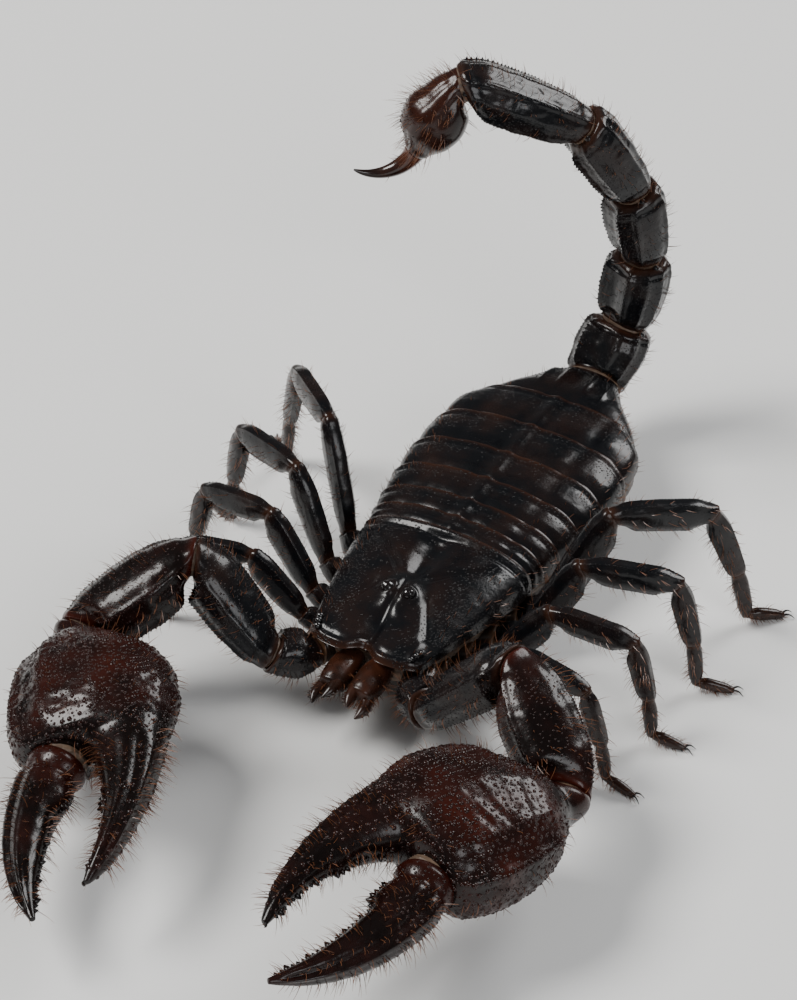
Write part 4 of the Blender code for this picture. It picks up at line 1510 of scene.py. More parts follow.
    def combs(self, teeth: int = 14, length: float = 11.5) -> None:
        """Makes the pair of combs, each a jointed shaft with small beads and a row of teeth.

        Args:
            teeth: How many teeth each has.
            length: How long its shaft is.
        """
        steps, bead = evenly(9), point(0.13, 0.24, 0.28, 0.24, 0.13)
        paddle = smooth_table(((0, 0.2), (0.45, 0.22), (0.8, 0.33), (1, 0.2)), steps)[:, 0]
        for name, sign in SIDES:
            level, rearwards, root = LEFT * sign, -AHEAD, point(sign * 1.6, 28.6, 4.15)
            out, rear = turned(level, rearwards, 16), turned(rearwards, -level, 16)
            parts = []
            for begin, end, width in ((0.0, 4.6, 0.62), (4.7, 8.4, 0.55), (8.5, length, 0.42)):
                path = root + out * np.linspace(begin, end, 14)[:, None] - rear * 0.45
                parts.append(curved(path, UP, np.tile((width, 0.36, 0.36), (14, 1)), 18, 2.4, (0.3, 0.3)))
            for number in range(teeth):
                foot = root + out * (length - (number + 0.5) * 0.74) + rear * 0.25
                path = foot + (rear * (1.75 - 0.03 * number) + out * 0.12) * steps[:, None]
                parts.append(curved(path, UP, paddle, 10, 2.0, (0.1, 0.12)))
                path = foot - rear * 0.12 + out * np.linspace(-0.57, -0.17, 5)[:, None]
                parts.append(curved(path, UP, bead, 8, 2.0, (0.05, 0.05)))
            self.maker.piece(f"comb_{name}", parts, COMB, [f"pecten_{name}"])


# The tail


# Share of a ring's length, then of its half width, rise and drop. The last row adds to the waist's share
RING_PROFILE = (
    (0, 0.70, 0.66, 0.70), (0.12, 0.84, 0.80, 0.84), (0.3, 0.95, 0.92, 0.95), (0.6, 1.02, 0.99, 1.03),
    (0.8, 0.99, 0.99, 1.03), (0.93, 0.92, 0.91, 0.94), (1, 0, -0.03, 0),
)
# Share of the bulb's length, half width, rise and drop
BULB_PROFILE = (
    (0, 2.7, 2.4, 2.7), (0.24, 4.5, 3.8, 4.4), (0.48, 5.3, 4.5, 5.6), (0.7, 4.7, 3.9, 5.1),
    (0.88, 3.1, 2.5, 3.2), (1, 1.95, 1.65, 1.75),
)


@dataclass(frozen=True)
class Ring:
    """One ring of the tail: its length, its lift and swing in degrees, half its width and half its height."""

    length: float
    lift: float
    swing: float
    half: float = 0.0
    tall: float = 0.0


@dataclass
class Tail:
    """Five ridged rings, then the bulb that holds the venom and the sting."""

    maker: Maker
    beads: Beads
    hairs: Bristles
    root: Array
    ring_sizes: tuple[Ring, ...] = (
        Ring(11.0, 50, 15, 5.6, 4.7),
        Ring(12.5, 77, 27, 5.4, 4.6),
        Ring(13.5, 100, 39, 5.2, 4.5),
        Ring(15.5, 124, 49, 5.0, 4.4),
        Ring(21.0, 155, 54, 4.8, 4.1),
    )
    bulb: Ring = Ring(13.5, 238, 53)

    def way(self, ring: Ring) -> tuple[Array, Array]:
        """Which way a ring points.

        Args:
            ring: The ring.

        Returns:
            Its direction, and the direction of its side.
        """
        up, turn = math.radians(ring.lift), math.radians(ring.swing)
        rearwards = point(math.sin(turn), math.cos(turn), 0)
        along = rearwards * math.cos(up) + UP * math.sin(up)
        inside = UP * math.cos(up) - rearwards * math.sin(up)
        return along, np.cross(along, inside)

    def keels(self, number: int) -> list[Keel]:
        """The ridges of one ring: grained above, smooth below, and spiny below on the last.

        Args:
            number: The ring's number from the root.

        Returns:
            Its ridges.
        """
        if number == 5:
            above = mirrored((38, 0.34, 7, 0.2, 0.9)) + [Keel(90, -0.5, 20)]
            below = mirrored((-44, 0.38, 7, 0.28, 1.5)) + [Keel(270, 0.3, 7, 0.27, 1.5)]
            return above + mirrored((-4, 0.2, 7, 0.16, 0.8)) + below
        keels = mirrored((60, 0.5, 7, 0.25, 1.3)) + [Keel(90, -0.65, 15)]
        keels += mirrored((22, 0.42, 6.5, 0.2, 1.0))
        if number < 3:
            keels += mirrored((-8, 0.25, 6, 0.16, 0.8))
        return keels + mirrored((-46, 0.36, 7), (-74, 0.28, 6))

    def build(self) -> None:
        """Builds the rings, their joints, the bulb and the sting."""
        ways, sides = zip(*(self.way(ring) for ring in (*self.ring_sizes, self.bulb)))
        joints = chained(self.root, ways, [ring.length for ring in self.ring_sizes])
        faces = [unit(point(0, 1, math.tan(TAIL_LEAN))), *halfway(ways)]
        skins = []
        for number, ring in enumerate(self.ring_sizes, 1):
            ends, side = slice(number - 1, number + 1), sides[number - 1]
            waist, root = (0.70 if number == 5 else 0.80), 0.10 * (number == 1)
            table = np.array(RING_PROFILE)
            table[:2, 1:] += ((root,), (0.6 * root,))
            table[-1, 1:] += waist
            rows = table * (1, ring.half, ring.tall, ring.tall)
            segment = Segment(joints[ends], side, rows, faces[ends], self.keels(number), 84, 96, 2.3, 0.03)
            surface = segment.surface()
            dents = 0.14 * uneven(surface.points, 2.6, number) + 0.06 * uneven(surface.points, 1.0, number)
            segment.beaded(self.beads, surface.raised(dents))
            self.beads.sprinkled(surface, int(26 * ring.length), self.grained, 0.17, 40 + number, 0.4)
            wear = [worn(surface, 0.95, number)]
            self.maker.piece(f"tail_ring_{number}", [surface], SHELL, [f"tail_{number}"], wear)
            self.hairs.grow(surface, int(9 * ring.length), (0.9, 2.6), self.below, 0.3)
            swell = 1 + 2.2 * root
            sizes = (1.5 * swell, ring.half * 0.72 * swell, ring.tall * 0.69 * swell)
            skins.append(knuckle(joints[number - 1], faces[number - 1], side, sizes, number))
            self.pivots(joints[number], across_face(side, faces[number]), faces[number], ring.half * waist)
        skins.append(knuckle(joints[-1], faces[-1], sides[-1], (1.5, 3.0, 2.7), 9))
        self.maker.piece("tail_joint_skin", skins, SKIN)
        self.telson(joints[-1], ways[-1], sides[-1], faces[-1])

    def grained(self, share: Array, turn: Array) -> Array:
        """Where fine grains lie on a ring: its upper half, away from the furrow."""
        return hill(180 - below_side(turn) - 60, 42) * within(share, 0, 0.2, 1, 0.15)

    def below(self, share: Array, turn: Array) -> Array:
        """Where hairs grow on a ring: its sides and under side."""
        return 0.15 + 0.85 * (below_side(turn) < 95)

    def pivots(self, joint: Array, out: Array, face: Array, half: float) -> None:
        """Gathers the pair of knobs that a joint turns on.

        Args:
            joint: Its middle.
            out, face: The directions of its side and of its face.
            half: Half its width.
        """
        for sign in (-1, 1):
            place = joint - face * 0.35 + out * sign * (half - 0.25)
            self.beads.add(place[None], (out * sign)[None], 0.62, 0.75)

    def telson(self, joint: Array, along: Array, side: Array, face: Array) -> None:
        """Builds the bulb, and the sting that curves away from its end.

        Args:
            joint: Where the bulb begins.
            along, side, face: Where it, its side and the joint face.
        """
        tip = joint + along * self.bulb.length
        keels = mirrored((-14, -0.3, 11), (-62, -0.22, 9)) + [Keel(90, -0.25, 25)]
        ends = (joint, tip), side, BULB_PROFILE, (face, along)
        bulb = Segment(*ends, keels, 90, 84, 2.15, 0.03, 0.15).surface()
        bulb.raised(0.05 * uneven(bulb.points, 2.4, 4))
        below = eased(np.cos(np.radians(bulb.turns - 270)) + 0.3)
        edge = np.clip(worn(bulb, 0.2, 2) + 0.35 * below, 0, 1)
        self.maker.piece("venom_bulb", [bulb], TELSON, ["telson_vesicle"], [edge])
        rows = Beads(self.maker)
        for turn in (-88, -74, -40, 220, 254, 268):
            rows.rowed(bulb, turn, (0.16, 0.8), 0.95, 0.2, 0.8)
        rows.made("bulb_grains", TELSON, 0.1)
        self.hairs.grow(bulb, 330, (1.2, 3.6), lambda _, t: 0.25 + (below_side(t) < 110), 0.4)

        inside, bow, steps = np.cross(side, along), 7.0, evenly(60)
        centre = tip - inside * bow
        turn = np.radians(88) * steps[:, None]
        path = centre + (inside * np.cos(turn) + along * np.sin(turn)) * bow + along * 0.1
        table = ((0, 1.7), (0.15, 1.5), (0.35, 1.25), (0.55, 0.95), (0.75, 0.65), (0.92, 0.36), (1, 0.16))
        outward = across_face(path - centre, unit(np.gradient(path, axis=0)))
        sting = rings(path, side, outward, smooth_table(table, steps)[:, 0], 40, 2.0, (0.3, 0.1))
        fade = 0.95 * eased(1 - sting.shares / 0.45)[:, None] + 0 * sting.turns
        self.maker.piece("sting", [sting], STING, ["telson_sting"], [fade])
        self.hairs.grow(sting, 26, (0.8, 1.8), lambda s, t: hill(s, 0.25), 0.3)


# The pincer arms


# Each arm segment: share of its length, half width, rise and drop
ARM_PARTS: dict[str, Rows] = {
    "coxa": ((0, 2.3, 2.0, 2.8), (0.5, 2.7, 2.1, 3.2), (1, 2.5, 1.9, 2.6)),
    "trochanter": ((0, 2.5, 2.2, 2.4), (0.45, 3.6, 3.4, 3.4), (1, 2.9, 2.8, 2.8)),
    "femur": (
        (0, 2.6, 2.5, 2.5), (0.2, 3.7, 3.5, 3.3), (0.5, 4.2, 3.9, 3.7), (0.78, 4.25, 4, 3.8), (1, 3.1, 3, 3)
    ),
    "patella": (
        (0, 3, 2.9, 2.9), (0.22, 4.7, 4.1, 4.1), (0.45, 5.5, 4.6, 4.5), (0.72, 5.2, 4.6, 4.5),
        (1, 3.3, 3.2, 3.2),
    ),
}
# The hand: distance from the wrist, reach inwards and outwards, rise and drop
HAND: Rows = (
    (0.0, 3.2, 3.2, 3.1, 3.1), (3.8, 4.4, 5.6, 4.8, 4.6), (7.6, 8.4, 8.8, 6.2, 5.8),
    (12.8, 12.6, 10.8, 7.3, 6.8), (18.2, 13.4, 11.5, 7.4, 6.9), (22.4, 12.8, 10.9, 6.8, 6.3),
    (25.0, 11.9, 9.2, 6.0, 5.6), (26.6, 11.4, 1.0, 5.0, 4.7), (28.4, 10.9, -0.9, 4.6, 4.4),
    (32.2, 9.9, -1.6, 3.9, 3.8), (37.2, 8.1, -1.9, 3.2, 3.1), (42.2, 5.6, -1.1, 2.5, 2.4),
    (46.8, 2.7, 0.5, 1.7, 1.7), (49.0, 0.7, 1.4, 1.1, 1.1), (50.3, -0.7, 1.9, 0.45, 0.45),
)
HAND_LENGTH = HAND[-1][0]
# How far out and up the parts past the coxa point, on the left and on the right, in degrees
ARM_ANGLES = (((44, 16), (98, 44), (52, -27), (-27, 7)), ((40, 16), (92, 44), (42, -28), (-36, 0)))
# Lumps on the hand's edges: distance from the wrist, length, height, turn and width in degrees
HAND_LOBES = (
    (8.5, 2.2, 0.5, 180, 34), (14.0, 1.6, 0.4, 186, 24), (19.2, 1.4, 0.45, 184, 22),
    (33.0, 1.8, -0.5, 0, 26), (36.5, 1.5, 0.4, 0, 26),
)


@dataclass
class Arm:
    """One pincer arm: coxa, trochanter, femur, patella, hand with its fixed finger, movable finger.

    The hand rolls, and its finger opens and curves in, by so many degrees.
    """

    maker: Maker
    name: str
    sign: int
    angles: Sequence[Pair]
    beads: Beads
    grains: Beads
    hairs: Bristles
    root: Triple = (8.6, 2.0, 9.2)
    lengths: tuple[float, ...] = (4.2, 7.0, 18.0, 20.0)
    roll: float = 16.0
    opening: float = 34.0
    closing: float = 48.0

    def build(self) -> None:
        """Builds the arm from its root to its fingertips."""
        ways = [unit(point(self.sign * 0.12, -1, 0))]
        ways += [heading(self.sign, *angles) for angles in self.angles]
        root = np.array(self.root) * (self.sign, 1, 1)
        joints = chained(root - ways[0] * self.lengths[0], ways, self.lengths)
        faces = [ways[0], *halfway(ways)]
        skins = []
        for number, (part, profile) in enumerate(ARM_PARTS.items()):
            side = across_face(np.cross(ways[number], UP), ways[number]) * self.sign
            self.segment(part, joints[number : number + 2], side, faces[number : number + 2])
            if number:
                sizes = (1.7, profile[0][1] * 0.93, profile[0][2] * 0.93)
                skins.append(knuckle(joints[number], faces[number], side, sizes, number))
        skins.append(knuckle(joints[-1], faces[-1], np.cross(ways[-1], UP), (1.9, 2.9, 2.8), 7))
        self.hand(joints[-1], ways[-1], faces[-1], skins)
        self.maker.piece(f"arm_{self.name}_joint_skin", skins, SKIN)
        self.beads.made(f"arm_{self.name}_grains", SHELL, 0.12)
        self.grains.made(f"claw_{self.name}_grains", CLAW, 0.3)
        self.hairs.made(f"arm_{self.name}_bristles")

    def segment(self, part: str, ends: Sequence[Array], side: Array, faces: Sequence[Array]) -> None:
        """One segment between the body and the hand.

        Args:
            part: Its name.
            ends, faces: Its two joints, and where each faces.
            side: Its outer side's direction.
        """
        finish = {"coxa": BELLY, "patella": CLAW}.get(part, SHELL)
        keels: list[Keel] = []
        if part in ("femur", "patella"):
            keels = mirrored((34, 0.42, 8, 0.24, 1.0), (-34, 0.34, 8, 0.2, 1.0))
            keels += [Keel(90, -0.2, 30), Keel(0, 0.22, 9, 0.18, 0.8)]
        if part == "trochanter":
            keels = mirrored((40, 0.25, 10, 0.22, 1.0))
        segment = Segment(ends, side, ARM_PARTS[part], faces, keels, 76, 84, 2.4)
        surface = segment.surface()
        if part == "patella":
            surface.relief(lambda s, t: 0.8 * hill(s - 0.24, 0.11) * near_turn(t, 180, 26))
        surface.raised(0.07 * uneven(surface.points, 1.4, self.sign + len(part)))
        surface.raised(0.12 * uneven(surface.points, 3.0, len(part)))
        name = f"arm_{self.name}_{part}"
        self.maker.piece(f"{name}_shell", [surface], finish, [name], [worn(surface, 0.95, len(part))])
        if part == "coxa":
            return
        beads = self.grains if finish is CLAW else self.beads
        segment.beaded(beads, surface, 0.6)
        length = math.dist(*ends)
        beads.sprinkled(surface, int(34 * length), self.middle, 0.2, 60 + len(part), 0.42)
        self.hairs.grow(surface, int(11 * length), (0.8, 3.0), self.middle, 0.25, 0.055)

    def middle(self, share: Array, turn: Array) -> Array:
        """Away from a segment's two ends."""
        return within(share, 0.06, 0.12, 0.95, 0.08)

    def hand(self, wrist: Array, way: Array, face: Array, skins: list[Surface]) -> None:
        """The hand: a broad arched palm that narrows to a toothed, hooked finger.

        Args:
            wrist: The joint that it begins at.
            way: Where it points.
            face: The direction that the wrist faces.
            skins: Takes the soft skin round the movable finger's root.
        """
        level = unit(np.cross(way, UP))
        level = level if level[0] * self.sign > 0 else -level
        upright = across_face(UP, way)
        out, up = turned(level, -upright, self.roll), turned(upright, level, self.roll)
        stretches = ((0, 24, 96), (24, 29.5, 44), (29.5, HAND_LENGTH, 92))
        rows = np.unique(np.concatenate([np.linspace(*stretch) for stretch in stretches]))
        inner, outer, rise, drop = smooth_table(HAND, rows).T
        tilt = (1 - eased(rows / 3.8))[:, None]
        across = unit(between(out, across_face(out, face), tilt))
        high = unit(between(up, across_face(up, face), tilt))
        spine = wrist + rows[:, None] * way + face * 0.25 * tilt + out * ((outer - inner) / 2)[:, None]
        sizes = joined((inner + outer) / 2, rise, drop)
        made = rings(spine, across, high, sizes, 150, 2.25, (0.5, 0.15), rows / HAND_LENGTH)
        along, turns = made.shares[:, None] * HAND_LENGTH, made.turns[None, :]
        palm, tip = within(along, 4, 4, 25.5, 3), within(along, 27, 3, 49.5, 4)
        lumps = 0.28 * np.maximum(uneven(made.points, 2.6, 6), 0) + 0.12 * uneven(made.points, 1.1, 7)
        keels = ridged(turns, (0.55, 34, 6), (0.35, 66, 6), (0.3, 98, 7), (0.35, -30, 7))
        relief = palm * (keels + lumps)
        relief += tip * ridged(turns, (0.28, 90, 14), (0.25, 150, 12), (0.22, -90, 16), (-0.2, 120, 10))
        for place, length, *lobe in HAND_LOBES:
            relief += hill(along - place, length) * ridged(turns, lobe)
        relief -= 0.5 * hill(along - 2.6, 0.9) - 0.25 * hill(along - 0.8, 0.7)
        made.raised(relief)
        edge = palm * (0.34 + 0.6 * uneven(made.points, 4.0, 8)) + 0.5 * hill(along, 1.6)
        edge = np.clip(edge, 0, 1) * (1 - 0.95 * eased((along - 26) / 12))
        teeth = np.arange(29.6, 49.0, 0.85)
        self.clawed("hand", made, 0.0, teeth / HAND_LENGTH, 0.5 * hill(teeth - 36, 2), edge)

        def grained(share: Array, turn: Array) -> Array:
            """Densest on the top and inner side of the palm, few on the finger."""
            place = share * HAND_LENGTH
            upper = 0.35 + near_turn(turn, 110, 95)
            return eased((place - 3.5) / 2) * upper * between(1.0, 0.12, eased((place - 22) / 9))

        self.grains.sprinkled(made, 1500, grained, 0.42, 80, 0.5)
        self.grains.sprinkled(made, 1900, grained, 0.22, 81, 0.45)
        for turn in (34, 66, 98):
            self.grains.rowed(made, turn, (0.12, 0.5), 0.75, 0.36, 0.8)
        self.hairs.grow(made, 330, (0.9, 2.6), lambda s, t: 0.6 + 0.8 * near_turn(t, 180, 60), 0.25, 0.06)
        self.fringed(made, 0.5, 3.2)
        self.finger(wrist, way, out, up, skins)

    def clawed(
        self, part: str, made: Surface, turn: float, shares: Array, growth: Array, edge: Array
    ) -> None:
        """Makes a piece of the claw with the teeth on its cutting edge.

        Args:
            part: Its name.
            made: Its own surface.
            turn: Where the cutting edge lies round it.
            shares: Where each tooth stands along it.
            growth: How much larger than usual each tooth is.
            edge: How thin or worn each place is.
        """
        sizes = 0.33 * (1 + growth + 0.7 * (np.arange(len(shares)) % 4 == 1))
        parts = [made, *toothed(made, turn, zip(shares, sizes))]
        self.maker.piece(f"claw_{self.name}_{part}", parts, CLAW, [f"arm_{self.name}_{part}"], [edge])

    def fringed(self, finger: Surface, start: float, longest: float) -> None:
        """Grows hairs over a finger from a share of its length on, none on its tip."""
        lengths = (0.9, longest)
        self.hairs.grow(finger, 420, lengths, lambda s, _: within(s, start, 0.1, 0.98, 0.05), 0.2, 0.06)

    def finger(self, wrist: Array, way: Array, out: Array, up: Array, skins: list[Surface]) -> None:
        """Builds the movable finger, which curves in to meet the fixed one.

        Args:
            wrist: The joint that the hand begins at.
            way: Where the hand points.
            out, up: The directions of its outer side and upper face.
            skins: Takes the soft skin round the finger's root.
        """
        start, length = wrist + way * 26.1 + out * 4.3, 29.0
        shares = evenly(120)
        turn = np.radians(self.opening - self.closing * shares)[:, None]
        steps = (way * np.cos(turn) + out * np.sin(turn)) * length / (len(shares) - 1)
        root_way = turned(way, out, 14)
        path = start + root_way * 0.3 + np.cumsum(steps, axis=0) - steps[0]
        profile = joined(evenly(9), point(4.2, 4.2, 3.9, 3.5, 3.1, 2.6, 2.0, 1.3, 0.42))
        half = smooth_table(profile, shares)
        ahead = unit(np.gradient(path, axis=0))
        across = np.cross(up, ahead)
        across = across if across[0] @ out > 0 else -across
        made = rings(path, across, up, half * (1, 0.93, 0.93), 90, 2.1, (0.8, 0.1), shares)
        along, turns = made.shares[:, None], made.turns[None, :]
        body = within(along, 0.04, 0.1, 0.97, 0.1)
        lobes = 0.65 * hill(along - 0.24, 0.06) - 0.3 * hill(along - 0.36, 0.05)
        keels = ridged(turns, (0.3, 90, 13), (0.3, 35, 12), (0.25, -90, 14), (-0.25, 62, 11))
        relief = body * (keels + lobes * near_turn(turns, 180, 26))
        relief += 0.25 * hill(along - 0.03, 0.03) - 0.35 * hill(along - 0.1, 0.03)
        made.raised(relief + 0.06 * uneven(made.points, 1.5, 9) * body)
        edge = np.clip(0.6 * (1 - eased(along / 0.3)) + 0.3 * uneven(made.points, 3.0, 5), 0, 1)
        edge = edge * (1 - 0.9 * eased(along / 0.5))
        teeth = np.arange(0.12, 0.97, 0.031)
        self.clawed("finger", made, 180.0, teeth, 0.6 * hill(teeth - 0.24, 0.06), edge)
        self.grains.sprinkled(made, 260, lambda s, t: eased(s / 0.05) * (1 - eased(s / 0.45)), 0.25, 82, 0.45)
        self.fringed(made, 0.05, 3.4)
        skins.append(knuckle(start, root_way, out, (1.7, 3.9, 3.7), 3))


# The jaws


@dataclass
class Jaws:
    """The two short jaws under the carapace's front edge, each a stout hand with two toothed fingers."""

    maker: Maker
    hairs: Bristles
    teeth: tuple[Pair, ...] = ((0.5, 0.28), (0.66, 0.32), (0.8, 0.24))

    def build(self) -> None:
        """Builds both jaws."""
        steps = evenly(40)
        profile = ((0, 1.9, 1.8, 1.9), (0.45, 2.3, 2.15, 2.4), (0.85, 2.1, 1.95, 2.1), (1, 1.7, 1.6, 1.7))
        for name, sign in SIDES:
            root = point(sign * 2.45, 3.4, 9.9)
            wrist = root + AHEAD * 7.4
            path = between(root, wrist, steps[:, None])
            palm = curved(path, UP, smooth_table(profile, steps), 48, 2.4, (0.3, 0.5))
            palm.relief(lambda s, t: 0.12 * hill(t - 90, 12) * within(s, 0, 0.2, 1, 0.2))
            inner = self.prong(wrist + (-sign * 0.7, 1.2, 0.5), (sign * 0.5, -4.1, -0.5), -sign * 0.45)
            outer = self.prong(wrist + (sign * 0.7, 1.2, -0.7), (sign * 0.2, -4.5, -0.6), sign * 0.7)
            patches = 0.5 + 0.5 * uneven(palm.points, 1.6, 2) - 0.5 * palm.shares[:, None]
            dark = np.clip(0.35 - 0.6 * inner.shares[:, None], 0, 1)
            parts = [palm, inner, outer]
            for prong, facing in ((inner, 90 - 90 * sign), (outer, 90 + 90 * sign)):
                parts += toothed(prong, facing, self.teeth)
            edges = [np.clip(patches, 0, 1), dark, dark]
            self.maker.piece(f"jaw_{name}", parts, JAW, [f"chelicera_{name}"], edges)
            self.hairs.grow(palm, 150, (0.8, 2.2), lambda s, t: eased(s / 0.9) * (0.2 + (t > 180)), 0.7)
            self.hairs.grow(outer, 50, (0.6, 1.4), lambda s, t: 1.0 - eased((s - 0.6) / 0.3), 0.4)

    def prong(self, start: Array, reach: Sequence[float], bow: float) -> Surface:
        """One hooked finger of a jaw.

        Args:
            start: Where it begins.
            reach: How far ahead, aside and down its tip lies.
            bow: How far it bows aside on the way.

        Returns:
            Its surface.
        """
        steps = evenly(30)[:, None]
        path = start + reach * steps + LEFT * bow * np.sin(steps * math.pi * 0.9)
        profile = ((0, 1.1, 1.2), (0.6, 0.8, 0.9), (0.85, 0.48, 0.52), (1, 0.16, 0.16))
        return curved(path, UP, smooth_table(profile, steps[:, 0])[:, (0, 1, 1)], 26, 2.1, (0.1, 0.06))


# The legs


@dataclass(frozen=True)
class LegPlan:
    """One leg's hip, its direction outwards, its femur's lift, and its six segments' lengths."""

    across: float
    back: float
    outwards: float
    femur_lift: float
    lengths: tuple[float, ...]


@dataclass(frozen=True)
class LegPart:
    """One leg segment: how pale it is, its hairs for each millimetre, the longest of them and its profile.

    The profile's rows are the share of its length, half width, rise and drop, on a middling leg.
    """

    paler: float
    hairs: int
    longest: float
    profile: Rows


LEG_PLANS = (
    LegPlan(10.6, 9.0, 84, 45, (4.0, 12.0, 11.0, 9.0, 6.0, 5.0)),
    LegPlan(12.0, 13.6, 98, 53, (4.2, 13.5, 12.5, 10.0, 6.8, 5.4)),
    LegPlan(13.2, 19.2, 113, 59, (4.6, 15.5, 14.0, 11.5, 7.6, 5.8)),
    LegPlan(13.9, 25.0, 131, 60, (5.2, 18.0, 15.5, 13.0, 9.0, 6.2)),
)
LEG_PARTS = (
    LegPart(0.0, 3, 1.9, ((0, 1.3, 1.6, 1.6), (0.5, 1.85, 2.2, 2.2), (1, 1.5, 1.7, 1.7))),
    LegPart(0.0, 5, 2.3, (
        (0, 1.2, 1.5, 1.5), (0.25, 1.5, 2.5, 2.5), (0.7, 1.55, 2.8, 2.7), (0.93, 1.4, 2.4, 2.1),
        (1, 1.2, 1.8, 1.6),
    )),
    LegPart(0.0, 5, 2.4, (
        (0, 1.15, 1.5, 1.5), (0.25, 1.45, 2.3, 2.2), (0.75, 1.45, 2.4, 2.3), (1, 1.1, 1.6, 1.5)
    )),
    LegPart(0.1, 8, 2.4, (
        (0, 1, 1.3, 1.3), (0.3, 1.2, 1.85, 1.8), (0.85, 1.1, 1.55, 1.6), (1, 0.95, 1.3, 1.3)
    )),
    LegPart(0.3, 10, 2.0, (
        (0, 0.8, 1.05, 1.05), (0.3, 0.95, 1.25, 1.25), (0.85, 0.9, 1.1, 1.15), (1, 0.75, 0.95, 1)
    )),
    LegPart(0.55, 12, 1.5, (
        (0, 0.7, 0.8, 0.8), (0.35, 0.85, 1, 1), (0.8, 0.72, 0.8, 0.75), (1, 0.5, 0.5, 0.42)
    )),
)
UPPER_PARTS = 3  # How many of them are on the leg's upper half


@dataclass
class Leg:
    """One walking leg of six segments, with spurs and a pair of hooked claws on its foot."""

    maker: Maker
    name: str
    sign: int
    plan: LegPlan
    beads: Beads
    hairs: Bristles
    skins: list[Surface]

    def build(self) -> None:
        """Builds the leg from hip to claws."""
        plan, sign = self.plan, self.sign
        hip = point(sign * plan.across, plan.back, HIP_HEIGHT)
        lifts = [18.0, plan.femur_lift, -8.0]
        height = HIP_HEIGHT - 0.08 + sum(n * math.sin(math.radians(t)) for n, t in zip(plan.lengths, lifts))
        left = height - plan.lengths[5] * math.sin(math.radians(18))
        steep = math.degrees(math.asin(min(left / (plan.lengths[3] + plan.lengths[4]), 0.98)))
        lifts += [3 - steep, -4 - steep, -18.0]
        ways = [heading(sign, plan.outwards, lift) for lift in lifts]
        joints = chained(hip, ways, plan.lengths)
        joints[-1] += UP * 0.38
        ways[-1] = unit(joints[-1] - joints[-2])
        side = np.cross(heading(sign, plan.outwards, 0), UP)
        scale = between(0.86, 1.06, (plan.lengths[1] - 12) / 6)
        faces = [ways[0], *halfway(ways), ways[-1]]
        shells, wear = [], []
        for number, (part, length) in enumerate(zip(LEG_PARTS, plan.lengths)):
            upper, ends = number < UPPER_PARTS, slice(number, number + 2)
            rows = np.array(part.profile) * (1, scale, scale, scale)
            ridge = (0.16 * scale, 10, 0.13 * upper, 0.9)
            keels = mirrored((62, *ridge), (-62, *ridge)) if number <= UPPER_PARTS else []
            segment = Segment(joints[ends], side, rows, faces[ends], keels, 40, 36, 2.3, 0.04, 0.12)
            surface = segment.surface()
            dents = 0.03 * uneven(surface.points, 1.0, number) + 0.07 * uneven(surface.points, 2.4, number)
            surface.raised(dents)
            if upper:
                segment.beaded(self.beads, surface, 0.55)
                everywhere = int(8 * length), lambda s, _: np.ones_like(s)
                self.beads.sprinkled(surface, *everywhere, 0.13, number, 0.42)
            shells.append(surface)
            wear.append(np.clip(worn(surface, 1.0, number) + part.paler, 0, 1))
            if number:
                sizes = (0.9, *rows[0, 1:3] * 0.95)
                self.skins.append(knuckle(joints[number], faces[number], side, sizes, number))
            self.bristle(number, part, surface, length)
        shells += self.foot(joints[-1], ways[-1], side, scale)
        for half, parts in (("upper", slice(UPPER_PARTS)), ("lower", slice(UPPER_PARTS, None))):
            name = f"leg_{self.name}_{half}"
            self.maker.piece(f"{name}_shell", shells[parts], SHELL, [name], wear[parts])

    def bristle(self, number: int, part: LegPart, surface: Surface, length: float) -> None:
        """Grows the hairs of one segment.

        Args:
            number: Its number from the hip, from 0 on.
            part: Its kind.
            surface, length: Its surface and its length.
        """

        def lower(share: Array, turn: Array) -> Array:
            """Denser below, and away from the joints."""
            below = near_turn(turn, 270, 80)
            return eased((share - 0.05) / 0.1) * (0.4 + (0.4 + 0.25 * number) * below)

        self.hairs.grow(surface, int(length * part.hairs), (0.75, part.longest), lower, 0.45)

    def foot(self, ankle: Array, way: Array, side: Array, scale: float) -> list[Surface]:
        """The two hooked claws and the small spurs round the foot's end.

        Args:
            ankle: The end of the last segment.
            way, side: Where the foot and its side point.
            scale: The leg's scale.

        Returns:
            Their surfaces.
        """
        shapes = []
        flat = unit(way * (1, 1, 0))
        for reach in (-1, 1):
            steps = evenly(14)[:, None]
            aside = side * reach * (0.22 + 0.55 * steps)
            fall = UP * (0.42 * np.sin(steps * math.pi) - (ankle[2] - 0.1) * steps**2)
            path = ankle - way * 0.25 + flat * (1.75 * scale * steps) + aside + fall
            path[:, 2] = np.maximum(path[:, 2], 0.09)
            size = between(0.24, 0.05, steps[:, 0] ** 0.8) * scale
            shapes.append(curved(path, UP, size, 10, 2.0, (0.05, 0.02)))
            for along in (0.6, 1.7, 2.8):
                root = ankle - way * along * scale + side * reach * 0.42 * scale - UP * 0.1
                out = (side * reach * 0.45 + flat * 0.35 - UP * 0.12) * scale
                spur = root + out * evenly(6)[:, None]
                spur[:, 2] = np.maximum(spur[:, 2], 0.07)
                shapes.append(curved(spur, UP, np.linspace(0.13, 0.03, 6), 6, 2.0, (0.02, 0.01)))
        return shapes


# The studio


# The sensor's longer side in millimetres, the frame's middle, and its steps for each of those millimetres
SENSOR, FRAME_MIDDLE, FRAME_DENSITY = 36.0, (398.5, 500.0), 27.78


@dataclass(frozen=True)
class Softbox:
    """One lamp: where it hangs, its size in metres, its power and its colour."""

    place: Triple
    size: float
    power: float
    colour: Triple = (1.0, 1.0, 1.0)


